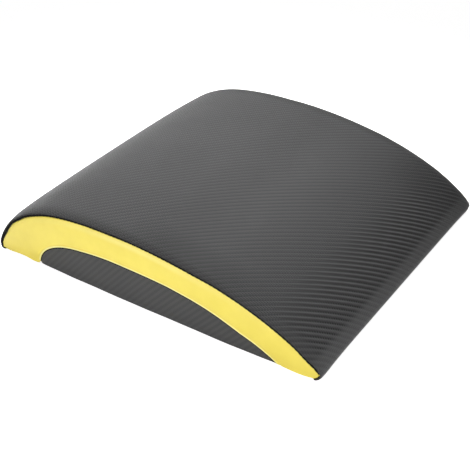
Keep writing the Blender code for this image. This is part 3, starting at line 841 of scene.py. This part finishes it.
def cover_edge(reach, steps):
    """Places (y, drop, length) from the flat of the cover over its roll and into the seam."""
    centre = HALF_WIDTH - reach
    angle = np.linspace(0, np.pi / 2, steps + 1)[1:]
    down = LIP_INSET - WELT
    roll = np.column_stack([centre + reach * np.sin(angle), down * (1 - np.cos(angle))])
    angle = np.linspace(np.pi / 2, np.pi, 7)[1:]
    welt = [HALF_WIDTH - WELT * (1 - np.sin(angle)), down - WELT * np.cos(angle)]
    welt = np.column_stack(welt)
    tongue = welt[-1] + np.array([[-0.0008, 0.0002], [-0.0018, 0.0008]])
    points = np.concatenate([[[centre, 0]], roll, welt, tongue])
    return np.column_stack([points, centre + running_length(points)])[1:]


flat = np.linspace(NEAR_ROLL - HALF_WIDTH, HALF_WIDTH - FAR_ROLL, 87)
near_edge = cover_edge(NEAR_ROLL, 18)[::-1] * (-1, 1, -1)
top = np.column_stack([flat, np.zeros_like(flat), flat])
stations = np.concatenate([near_edge, top, cover_edge(FAR_ROLL, 14)])
print("width of the cover's cut:", round(1000 * (stations[-1, 2] - stations[0, 2])), "mm")

# %% The cover
PUCKER, PUCKER_FRONT, PUCKER_REACH = 0.00004, 0.00016, 0.0035
CREASE, CREASE_FRONT, CREASE_REACH = 0.00005, 0.00030, 0.014
SLOW, SLOW_REACH = 0.00022, 0.02
DRAWN_IN = 0.0002
TUCK_TAPER, TUCK_REACH = 0.03, 0.005
PRESSED_FLAT = 0.15

from_peak = cover_length - cover_length[np.argmax(cover_line[:, 1])]
skin = []
for y, drop, _ in stations:
    crown = CROWN * max(1 - (y / flat_half) ** 2, 0)
    x, z = arch_section(drop, crown, (drop * 0.1, drop * 0.45), TUCK).T
    tucked = share_of(FOOT - np.abs(x), TUCK_REACH) * (cover_line[:, 1] < 0.0001)
    skin.append(np.column_stack([x, y * (1 - TUCK_TAPER * tucked), z]))
skin = np.array(skin)
cut = np.dstack(np.meshgrid(from_peak, stations[:, 2]))

to_seam = np.minimum(stations[-1, 2] - cut[..., 1], cut[..., 1] - stations[0, 2])
front_near = share_of(from_peak - 0.13, 0.08)[None, :] ** 2
on_arch = (cover_line[:, 1] > 0.010)[None, :]
pucker = stitches_along(cut[..., 0]) * fade(to_seam, PUCKER_REACH)
pucker *= (PUCKER + PUCKER_FRONT * front_near) * on_arch
crease = wander(skin * (1, 0.45, 1), 0.012, 11) * fade(to_seam, CREASE_REACH)
crease *= (CREASE + CREASE_FRONT * front_near) * on_arch
slow = wander(skin, 0.11, 5) * SLOW * share_of(to_seam, SLOW_REACH)
move = np.where(skin[..., 2] > 0.004, pucker + crease + slow - DRAWN_IN, 0)
skin = filled_out(skin - surface_normals(skin) * move[..., None])
cover = grid_piece("arch_cover", skin, cut, flip=True)
thicken(cover, VINYL)
for corner in cover.data.vertices:
    if corner.co.z < 0:
        corner.co.z *= PRESSED_FLAT
wear_finish(cover, dark_vinyl)
tell_sheets(cover)

# %% [markdown]
# ## Side panels
# Each side is a yellow crescent with a dark half-moon set into it, both sewn right sides together
# and turned. Where two panels meet, each one rounds over into the seam, so a seam is a narrow
# groove. The crescent keeps a thin ridge along the half-moon, because its seam allowance is
# folded back under it there. All of this depends only on how far a point lies from a seam, so one
# rule of distance shapes the whole panel.

# %% Lines of the side
INSERT_HEIGHT = 0.0387
INSERT_SETBACK = 0.036
INSERT_REACH = {-1: 0.0933, 1: 0.179}
INSERT_BENDS = {-1: (2.6, 2.1), 1: (2.1, 1.25)}
# Places in mm along the mat, and in tenths of a mm how far the side's lower edge is lifted there
# and how far the half-moon's seam lies above its smooth curve.
LIFT_PLACES = (-182, -168, -159, -152, -146, -139, -128, -110, -85, -50, 100, 137, 160, 171, 179)
LIFTS = (0, 6, 17, 19, 15, 1, 14, 11, 2, 0, 0, 12, 0, 5, 16)
INSERT_PLACES = (-120, -95, -73, -55, -40, -20, 0, 18, 30, 42, 55, 70, 84, 95, 106, 118)
INSERT_SHIFTS = (-3, -3, -8, -2, 4, 3, 7, 13, 16, 15, 17, 16, 9, 0, -7, 0)

seam_line = arch_line(YELLOW_INSET)


def seam_height(x):
    return np.interp(x, seam_line[:, 0], seam_line[:, 1])


def insert_height(x, grown=0.0):
    """Height of the half-moon's seam, its outline grown on all sides."""
    height = np.zeros_like(x)
    for towards in (-1, 1):
        along = (x + INSERT_SETBACK) * towards
        share = share_of(along, INSERT_REACH[towards] + grown)
        power, root = INSERT_BENDS[towards]
        side = (INSERT_HEIGHT + grown) * (1 - share**power) ** (1 / root)
        height = np.where(along >= 0, side, height)
    return height + measured(x, INSERT_PLACES, INSERT_SHIFTS, 10000) * share_of(height, 0.01)


def edge_lift(x):
    """The lower edge of a sewn side is never straight: it lifts a little off the floor."""
    shifts = (-0.004, -0.002, 0, 0.002, 0.004)
    return sum(measured(x + shift, LIFT_PLACES, LIFTS, 10000) for shift in shifts) / 5


def tip_place(x):
    """Where the crescent's tip lies at the end that x is nearer to."""
    return HALF_LENGTH - SEAM_INSET * seam_share(np.sign(x) * HALF_LENGTH)


def crescent_low(x):
    """Lower edge of the crescent: the floor, the half-moon's seam, or the curl at a corner."""
    share = np.clip((np.abs(x) - FOOT) / (tip_place(x) - FOOT), 0, 1)
    bend = np.where(x < 0, CORNER_BENDS[-1], CORNER_BENDS[1])
    curl = END_ROLL - (END_ROLL - edge_lift(x)) * (1 - share**bend) ** (1 / bend)
    return np.where(np.abs(x) >= FOOT, curl, np.maximum(insert_height(x, 0.0003), edge_lift(x)))


def distance_to(line, points):
    """Shortest distance from each point (x, z) to a line of points (x, z)."""
    best = np.full(points.shape[:-1], np.inf)
    for start, step in zip(line[:-1], np.diff(line, axis=0)):
        share = np.clip((points - start) @ step / max((step**2).sum(), 1e-18), 0, 1)
        gap = points - start - share[..., None] * step
        best = np.minimum(best, np.hypot(gap[..., 0], gap[..., 1]))
    return best


def curl(distance, radius):
    """How far a panel lies back near a seam, where it rounds over into it."""
    share = np.clip(1 - distance / radius, 0, 1)
    return radius * (1 - np.sqrt(1 - share**2))


insert_x = [-INSERT_REACH[-1] * quarter(60)[:0:-1], INSERT_REACH[1] * quarter(80)]
insert_x = np.concatenate(insert_x) - INSERT_SETBACK
insert_line = np.column_stack([insert_x, insert_height(insert_x)])
back_tip, front_tip = -tip_place(-1.0), tip_place(1.0)
tips = [np.linspace(-FOOT, back_tip, 24), np.linspace(front_tip, FOOT, 24)]
back_low, front_low = [np.column_stack([x, crescent_low(x)]) for x in tips]
top_seam = np.concatenate([back_low, seam_line[::4], front_low])
top_length = running_length(seam_line)
seam_lengths = [round(1000 * line[-1]) for line in (top_length, running_length(insert_line))]
print("seams of a side, over the arch and round the half-moon:", seam_lengths, "mm")

# %% Helpers for the sides
FACE = HALF_WIDTH - 0.0001
SIDES = (("near", -1), ("far", 1))
rows = (1 - np.cos(np.linspace(0, np.pi, 40))) / 2


def side_columns():
    """Places along the side, close together at the tips and at the half-moon's ends."""
    back = -PEAK_SETBACK + (back_tip + PEAK_SETBACK) * quarter(80)
    front = -PEAK_SETBACK + (front_tip + PEAK_SETBACK) * quarter(90)
    close = np.arange(0.120, 0.176, 0.0007)
    places = np.unique(np.concatenate([back, front, close, insert_x]).round(6))
    keep = [places[0]]
    for x in places[1:-1]:
        if x - keep[-1] > 0.00018:
            keep.append(x)
    return np.array(keep + [places[-1]])


def side_grid(x, low, high):
    """Points (x, z) of a strip between two lines, in columns."""
    z = low[:, None] + (high - low)[:, None] * rows[None, :]
    return np.dstack([np.repeat(x[:, None], len(rows), axis=1), z])


def lay_on_side(name, flat, depth, side, material, slot, painted_light=None):
    """Stands a strip up on one side of the mat, lying back by depth, and gives it thickness."""
    points = filled_out(np.dstack([flat[..., 0], side * (FACE - depth), flat[..., 1]]))
    piece = grid_piece(name, points, flat * (-side, 1), flip=side > 0)
    # A painted highlight, when one is given, is kept on the points for the finish.
    if painted_light is not None:
        painted_highlight = piece.data.attributes.new("painted_highlight", "FLOAT", "POINT")
        painted_highlight.data.foreach_set("value", painted_light.ravel())
    thicken(piece, VINYL)
    return wear_finish(piece, material)


# %% Outline of the crescents
NOTCH, NOTCH_FRONT = 0.00010, 0.00035

x = side_columns()
front_end = share_of(x - 0.10, 0.07) ** 2
notch = np.clip(stitches_along(np.interp(x, seam_line[:, 0], top_length)), 0, 1) ** 4
notch *= NOTCH + NOTCH_FRONT * front_end
low = crescent_low(x)
crescent = side_grid(x, low, np.maximum(seam_height(x) - notch, low + 0.00002))
x, z = crescent[..., 0], crescent[..., 1]
from_top = distance_to(top_seam, crescent)
from_insert = distance_to(insert_line, crescent)
from_floor = np.abs(z - edge_lift(x))
from_floor = np.where((x < insert_x[0]) | (x > insert_x[-1]), from_floor, 1.0)
front_end = front_end[:, None]
back_end = share_of(-x - 0.13, 0.04)
run = np.interp(x, seam_line[:, 0], top_length)
print("columns and rows of a crescent:", x.shape)

# %% Crescents
TOP_CURL, INSERT_CURL, FLOOR_CURL = 0.0011, 0.0012, 0.0004
TOP_SINK, TOP_SINK_REACH = 0.00080, 0.0050
SLACK, SLACK_REACH = 0.00070, 0.0060
GROOVE, GROOVE_PLACE, GROOVE_WIDTH = 0.00050, 0.0032, 0.0010
GATHER, GATHER_FRONT, GATHER_REACH = 0.00004, 0.00022, 0.0022
FOLDS, FOLDS_BACK, FOLDS_FRONT, FOLDS_REACH = 0.00003, 0.00020, 0.00010, 0.009
DEEPEST = 0.0026
# Strengths of the painted highlights on the yellow: below the top seam and along the half-moon.
HIGHLIGHT_TOP, HIGHLIGHT_INSERT = 0.30, 0.9

depth = curl(from_top, TOP_CURL) + TOP_SINK * fade(from_top, TOP_SINK_REACH)
depth += SLACK * hump(x, 0.045, 0.05) * fade(from_top, SLACK_REACH)
depth += curl(from_insert, INSERT_CURL) + GROOVE * hump(from_insert, GROOVE_PLACE, GROOVE_WIDTH)
depth += curl(from_floor, FLOOR_CURL) + 0.0001 * fade(from_floor, 0.004)
depth += stitches_along(run) * fade(from_top, GATHER_REACH) * (GATHER + GATHER_FRONT * front_end)
crease = wander(np.dstack([x, z * 0.4, z * 0]), 0.016, 21)
crease *= fade(np.minimum(from_floor, from_insert), FOLDS_REACH)
depth += crease * (FOLDS + FOLDS_BACK * back_end + FOLDS_FRONT * front_end)
depth += SLOW * wander(np.dstack([x, z, z * 0]), 0.07, 22)
depth = np.clip(depth + 0.00010, 0, DEEPEST)
# Painted highlights: a band below the top seam, and a thin line on the ridge over the half-moon.
painted_light = HIGHLIGHT_TOP * hump(from_top, 0.0042, 0.0026) * hump(x, -0.01, 0.08)
painted_light += HIGHLIGHT_INSERT * hump(from_insert, 0.0012, 0.0006)
crescents = {}
for place, side in SIDES:
    settings = (side, yellow_vinyl, f"side_band_{place}", painted_light)
    crescents[place] = lay_on_side(f"yellow_crescent_{place}", crescent, depth, *settings)
tell_sheets(*crescents.values())

# %% [markdown]
# The half-moon is filled by the foam as well, so it bulges a little between its seam and the
# floor. Its twill is laid out in the same metres as the arch, with one direction of the tows level.

# %% Half-moons
MOON_CURL, MOON_FLOOR_CURL = 0.0011, 0.0005
MOON_SINK, MOON_SINK_REACH = 0.0006, 0.003
MOON_SLOW = 0.00025
MOON_GATHER, MOON_GATHER_REACH = 0.00006, 0.0025
MOON_DEEPEST = 0.0022

x = np.concatenate([[insert_x[1] - 0.00004], insert_x[1:-1], [insert_x[-2] + 0.00004]])
half_moon = side_grid(x, edge_lift(x), np.maximum(insert_height(x) - 0.0008, edge_lift(x) + 0.0001))
x, z = half_moon[..., 0], half_moon[..., 1]
from_seam = distance_to(insert_line, half_moon)
from_floor = np.abs(z - edge_lift(x))
depth = curl(from_seam, MOON_CURL) + MOON_SINK * fade(from_seam, MOON_SINK_REACH)
depth += curl(from_floor, MOON_FLOOR_CURL) + 0.0001 * fade(from_floor, 0.004)
depth += MOON_SLOW * wander(np.dstack([x, z, z * 0]), 0.06, 31)
depth += MOON_GATHER * stitches_along(x) * fade(from_seam, MOON_GATHER_REACH)
depth = np.clip(depth + 0.00030, 0, MOON_DEEPEST)
half_moons = {}
for place, side in SIDES:
    settings = (side, dark_insert, f"side_insert_{place}")
    half_moons[place] = lay_on_side(f"half_moon_{place}", half_moon, depth, *settings)
tell_sheets(*half_moons.values())

# %% [markdown]
# A thin dark tube lies along each seam, narrower at every stitch, and gives the line its beaded
# look from all sides. It is partly the folded edges of the black backing, which show between the
# two panels and are drawn in at each stitch, and partly painted shade for the groove between them.

# %% Folds in the seams, partly painted shade
FOLD_INSET = 0.0038
FOLD_DEPTH = 0.0007
FOLD_STEP = 0.00075
FOLD_SIDES = 10
FOLD_NARROWER = 0.30
FOLD_END = 0.004
TOP_FOLD, MOON_FOLD = 0.0011, 0.0006


def shaded_seam_fold(name, line, side, radius):
    """A beaded dark tube along a line (x, z) of one side."""
    length = running_length(line)
    run = np.arange(0.0006, length[-1] - 0.0006, FOLD_STEP)
    path = np.column_stack([np.interp(run, length, line[:, axis]) for axis in (0, 1)])
    forward = np.gradient(path, axis=0)
    forward /= np.linalg.norm(forward, axis=1, keepdims=True)
    upward = np.column_stack([-forward[:, 1], forward[:, 0]])
    size = radius * (1 - FOLD_NARROWER * np.clip(stitches_along(run), 0, 1) ** 2)
    size *= np.clip(np.minimum(run, length[-1] - run) / FOLD_END, 0.3, 1)
    angles = np.arange(FOLD_SIDES) * 2 * np.pi / FOLD_SIDES
    rings = []
    for place, up, r in zip(path, upward, size):
        x, z = (place + np.outer(np.cos(angles), up) * r).T
        y = side * (FACE - FOLD_DEPTH + 0.55 * r * np.sin(angles))
        rings.append(filled_out(np.column_stack([x, y, z])).tolist())
    return wear_finish(closed_tubes(name, [rings]), shaded_fold_cloth)


moon_seam = np.maximum(insert_height(insert_x) - 0.0003, edge_lift(insert_x))
moon_seam = np.column_stack([insert_x, moon_seam])
folds = {}
for place, side in SIDES:
    top_fold = shaded_seam_fold(f"seam_fold_top_{place}", arch_line(FOLD_INSET), side, TOP_FOLD)
    folds[place] = (top_fold, shaded_seam_fold(f"seam_fold_moon_{place}", moon_seam, side, MOON_FOLD))
tell(*folds["near"], *folds["far"])

# %% [markdown]
# ## The foam
# The foam never shows while the cover is closed, but it is what gives the cover its form, so it is
# a full block with the same arch, rounded at its lower edges, and with the groove that leaves room
# for the zip.

# %% The foam
ZIP_SETBACK = 0.060
ZIP_HEIGHT = 0.0048
FOAM_HALF_WIDTH = 0.1528
FOAM_FLOOR = 0.0016
FOAM_ROUND = 0.0012
GROOVE_HALF = 0.0153
GROOVE_TOP = 0.0081
HAIR = 0.0001


def foam_ring(y):
    """The foam's outline at one place across the mat, tucked in towards its sides."""
    from_side = FOAM_HALF_WIDTH - abs(y)
    top_inset = 0.0018 + 0.0040 * max(1 - from_side / 0.0045, 0) ** 2
    crown = CROWN * max(1 - (y / flat_half) ** 2, 0)
    low = FOAM_FLOOR + 0.0028 * max(1 - from_side / 0.004, 0) ** 2
    line = arch_section(top_inset, crown, low, 0.03, 44, 56, 6)
    line = line[(line[:, 1] > low + 1e-6) | (np.abs(line[:, 0]) < HALF_LENGTH - 0.004)]
    groove = [(HAIR, low), (0, low + HAIR), (0, GROOVE_TOP - FOAM_ROUND), (-FOAM_ROUND, GROOVE_TOP)]
    front = [(GROOVE_HALF + x - ZIP_SETBACK, z) for x, z in groove]
    back = [(-GROOVE_HALF - x - ZIP_SETBACK, z) for x, z in reversed(groove)]
    ring = np.concatenate([line, [(0.10, low), (0.04, low)], front, back, [(-0.11, low)]])
    return filled_out(np.column_stack([ring[:, 0], np.full(len(ring), y), ring[:, 1]]))


edge = -FOAM_HALF_WIDTH + np.array([0, 0.0006, 0.0015, 0.0028, 0.0045])
across = np.concatenate([edge, np.linspace(-0.14, 0.14, 15), -edge[::-1]])
foam_block = closed_tubes("foam_block", [[foam_ring(y) for y in across]])
foam_block.data.set_sharp_from_angle(angle=math.radians(40))
wear_finish(foam_block, foam)
print("foam block", [round(1000 * d) for d in foam_block.dimensions], "mm")

# %% [markdown]
# ## The base
# The base cloth is in two panels. Each lies flat on the floor, rises at its outer edges to meet
# the sides, and turns up and back along the zip in a hem that is sewn down with two rows of
# stitches.

# %% Base cloth
BASE_CLOTH = 0.0010
ZIP_SLOT = 0.0140
HEM = 0.0065
HEM_TOP = ZIP_HEIGHT - 0.00025 - 0.0003
HEM_BEND = 0.0014
BASE_HALF_WIDTH = 0.1535
BASE_EDGE = 0.006


def base_panel(name, towards):
    """A base panel as a grid: across the mat in rows, and from its end to its hem in columns."""
    wall = ZIP_SLOT / 2
    hem = wall + HEM_BEND
    end = HALF_LENGTH - TUCK - 0.0003 + towards * ZIP_SETBACK
    turn = np.linspace(0, np.pi / 2, 7)
    run = np.linspace(end, hem, 60)[:-1]
    back = np.linspace(hem, wall + HEM, 5)[1:]
    ahead = [run, hem - HEM_BEND * np.sin(turn), hem - HEM_BEND * np.cos(turn), back]
    up = [run * 0, HEM_BEND - HEM_BEND * np.cos(turn)]
    up += [HEM_TOP - HEM_BEND + HEM_BEND * np.sin(turn), np.full(4, HEM_TOP)]
    ahead, up = np.concatenate(ahead), np.concatenate(up)
    length = running_length(np.column_stack([ahead, up]))
    edge = -BASE_HALF_WIDTH + BASE_EDGE * (1 - np.cos(np.linspace(0, np.pi / 2, 10)))
    y = np.concatenate([edge, np.linspace(-0.1475, 0.1475, 61)[1:-1], -edge[::-1]])
    x, y = np.meshgrid(towards * ahead - ZIP_SETBACK, y)
    rise = (0.0011 + edge_lift(x)) * (1 - share_of(BASE_HALF_WIDTH - np.abs(y), 0.0045)) ** 2
    z = up + rise * np.clip(1 - up / 0.001, 0, 1)
    ripple = stitches_along(y) * fade(np.abs(ahead - wall - 0.004), 0.003)
    z = z + np.where(up < 0.0005, 0.00012 * (1 + ripple), 0)
    cut = np.dstack([np.broadcast_to(length, y.shape), y])
    piece = grid_piece(name, filled_out(np.dstack([x, y, z])), cut, flip=towards > 0)
    thicken(piece, BASE_CLOTH)
    return wear_finish(piece, base_cloth)


base_front = base_panel("base_cloth_front", 1)
base_rear = base_panel("base_cloth_rear", -1)
tell_sheets(base_front, base_rear)

# %% [markdown]
# ## The zip
# Each tape is woven and carries a row of moulded teeth. A tooth has a head, a neck and a foot that
# grips the tape; the neck leaves room for the head of the tooth across from it. One tooth is
# modelled with rounded edges and copied along the tape.

# %% Tapes
ZIP_PLACE = FORWARD - ZIP_SETBACK
TAPE_EDGE = 0.0021
TAPE_WIDTH = 0.0120
TAPE_HALF_LENGTH = 0.1527
TAPE_THICKNESS = 0.0005
TAPE_BEAD = 0.00010
TOOTH_PITCH = 0.0032
TOOTH_COUNT = 80
TOOTH_START = -TOOTH_PITCH * (TOOTH_COUNT - 0.5) / 2
HALF_CHAIN = 0.0029
TOOTH_HEIGHT = 0.0020
TOOTH_ROUND = 0.00014
TOOTH_SHARES = ((-0.40, 0.16), (-0.24, 0.266), (-0.02, 0.119), (1.00, 0.225))
ENDS = (("front", 1), ("rear", -1))


def zip_tape(name, towards):
    across = np.linspace(TAPE_EDGE, TAPE_EDGE + TAPE_WIDTH, 13)
    along = np.linspace(-TAPE_HALF_LENGTH, TAPE_HALF_LENGTH, 120)
    cut = np.dstack(np.meshgrid(across, along))
    bead = TAPE_BEAD * hump(across, TAPE_EDGE + 0.0003, 0.0003)
    height = np.broadcast_to(ZIP_HEIGHT - TAPE_THICKNESS / 2 - bead, cut.shape[:2])
    points = np.dstack([towards * cut[..., 0] + ZIP_PLACE, cut[..., 1], height])
    piece = grid_piece(name, points, cut, flip=towards > 0)
    thicken(piece, TAPE_THICKNESS)
    return wear_finish(piece, tape_cloth)


def tooth(towards):
    """One tooth round the middle of the chain, as a prism with rounded edges."""
    side = [(HALF_CHAIN * x, TOOTH_PITCH * y) for x, y in TOOTH_SHARES]
    outline = [(x, -y) for x, y in side] + [(x, y) for x, y in reversed(side)]
    shape = bmesh.new()
    floor = [shape.verts.new((towards * x, y, -TOOTH_HEIGHT / 2)) for x, y in outline]
    top = bmesh.ops.extrude_face_region(shape, geom=[shape.faces.new(floor)])
    moved = [v for v in top["geom"] if isinstance(v, bmesh.types.BMVert)]
    bmesh.ops.translate(shape, verts=moved, vec=(0, 0, TOOTH_HEIGHT))
    bmesh.ops.recalc_face_normals(shape, faces=shape.faces)
    rounding = {"offset": TOOTH_ROUND, "segments": 2, "profile": 0.5, "clamp_overlap": True}
    bmesh.ops.bevel(shape, geom=shape.edges, affect="EDGES", **rounding)
    shape.verts.ensure_lookup_table()
    return shape


def tooth_row(name, towards):
    one = tooth(towards)
    corners = np.array([v.co for v in one.verts])
    index = {v: i for i, v in enumerate(one.verts)}
    faces = [[index[v] for v in face.verts] for face in one.faces]
    one.free()
    shift = 0 if towards > 0 else TOOTH_PITCH / 2
    points, all_faces = [], []
    for k in range(TOOTH_COUNT):
        place = np.array([ZIP_PLACE, TOOTH_START + shift + k * TOOTH_PITCH, ZIP_HEIGHT])
        all_faces += [[i + k * len(corners) for i in face] for face in faces]
        points.append(corners + place)
    mesh = bpy.data.meshes.new(name)
    mesh.from_pydata(np.concatenate(points).tolist(), [], all_faces)
    mesh.shade_smooth()
    mesh.set_sharp_from_angle(angle=math.radians(35))
    return wear_finish(new_object(name, mesh), tooth_plastic)


tapes, teeth = {}, {}
for place, towards in ENDS:
    tapes[place] = zip_tape(f"woven_tape_{place}", towards)
    teeth[place] = tooth_row(f"zip_teeth_{place}", towards)
tell(*tapes.values(), *teeth.values())

# %% [markdown]
# ## Stitches
# A sewn row is a chain of short threads that dip into the cloth at each end. Each one is a small
# bent tube. Two rows hold the hem on each side of the zip.

# %% Stitches
THREAD_RADIUS = 0.00022
THREAD_SIDES = 6
HEM_STITCH = 0.0027
HEM_STITCH_PITCH = 0.0034
HEM_ROWS = (0.0022, 0.0052)
THREAD_BENDS = ((-0.5, -0.9), (-0.42, 0.1), (-0.2, 0.75), (0, 0.9))
THREAD_BENDS += ((0.2, 0.75), (0.42, 0.1), (0.5, -0.9))


def stitch_tube(place):
    """The rings of one stitch along the zip: down out of the cloth, along, and back in."""
    bends = [(0, a * HEM_STITCH, -h * THREAD_RADIUS) for a, h in THREAD_BENDS]
    line = [place + np.array(bend) for bend in bends]
    angles = np.arange(THREAD_SIDES) * 2 * np.pi / THREAD_SIDES
    rings = []
    for i, middle in enumerate(line):
        step = line[min(i + 1, len(line) - 1)] - line[max(i - 1, 0)]
        step /= np.linalg.norm(step)
        across, outward = np.array([1, 0, 0]), np.array([0, step[2], -step[1]])
        around = [np.cos(t) * across + np.sin(t) * outward for t in angles]
        rings.append([middle + THREAD_RADIUS * spoke for spoke in around])
    return rings


stitches = {}
for place, towards in ENDS:
    tubes = []
    for aside in HEM_ROWS:
        for y in np.arange(-0.149, 0.1495, HEM_STITCH_PITCH):
            x = towards * (ZIP_SLOT / 2 + aside) + ZIP_PLACE
            tubes.append(stitch_tube(np.array([x, y, THREAD_RADIUS])))
    stitches[place] = closed_tubes(f"hem_stitches_{place}", tubes)
    wear_finish(stitches[place], thread)
tell(*stitches.values())

# %% [markdown]
# ## Finishes on the solids that stay
# The slider, its tab and the stops keep their solids: they are small hard parts whose shape is
# already right, and only their paint is new.

# %% Painted metal
metal = ("zip_slider", "zip_pull", "zip_top_stop_front", "zip_top_stop_rear", "zip_bottom_stop")
for name in metal:
    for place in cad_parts[name].material_slots:
        place.material = black_paint
print("painted:", [s.material.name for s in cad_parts["zip_slider"].material_slots])

# %% [markdown]
# ## What each piece stands for
# Every piece rides on the body of the mat, and takes the place of the solid that it dresses.

# %% Ride and replace
def dress(piece, *solids):
    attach(piece, "mat")
    if solids:
        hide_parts(*solids)


dress(foam_block, "foam_core")
dress(cover, "top_panel")
dress(base_front, "base_panel_front")
dress(base_rear, "base_panel_rear")
for place, _ in SIDES:
    dress(crescents[place], f"side_band_{place}")
    dress(half_moons[place], f"side_insert_{place}")
    for fold in folds[place]:
        dress(fold)
for place, _ in ENDS:
    dress(tapes[place], f"zip_tape_{place}")
    dress(teeth[place], f"zip_tape_{place}")
    dress(stitches[place])

for place, _ in ENDS:
    "base_cloth_" + place
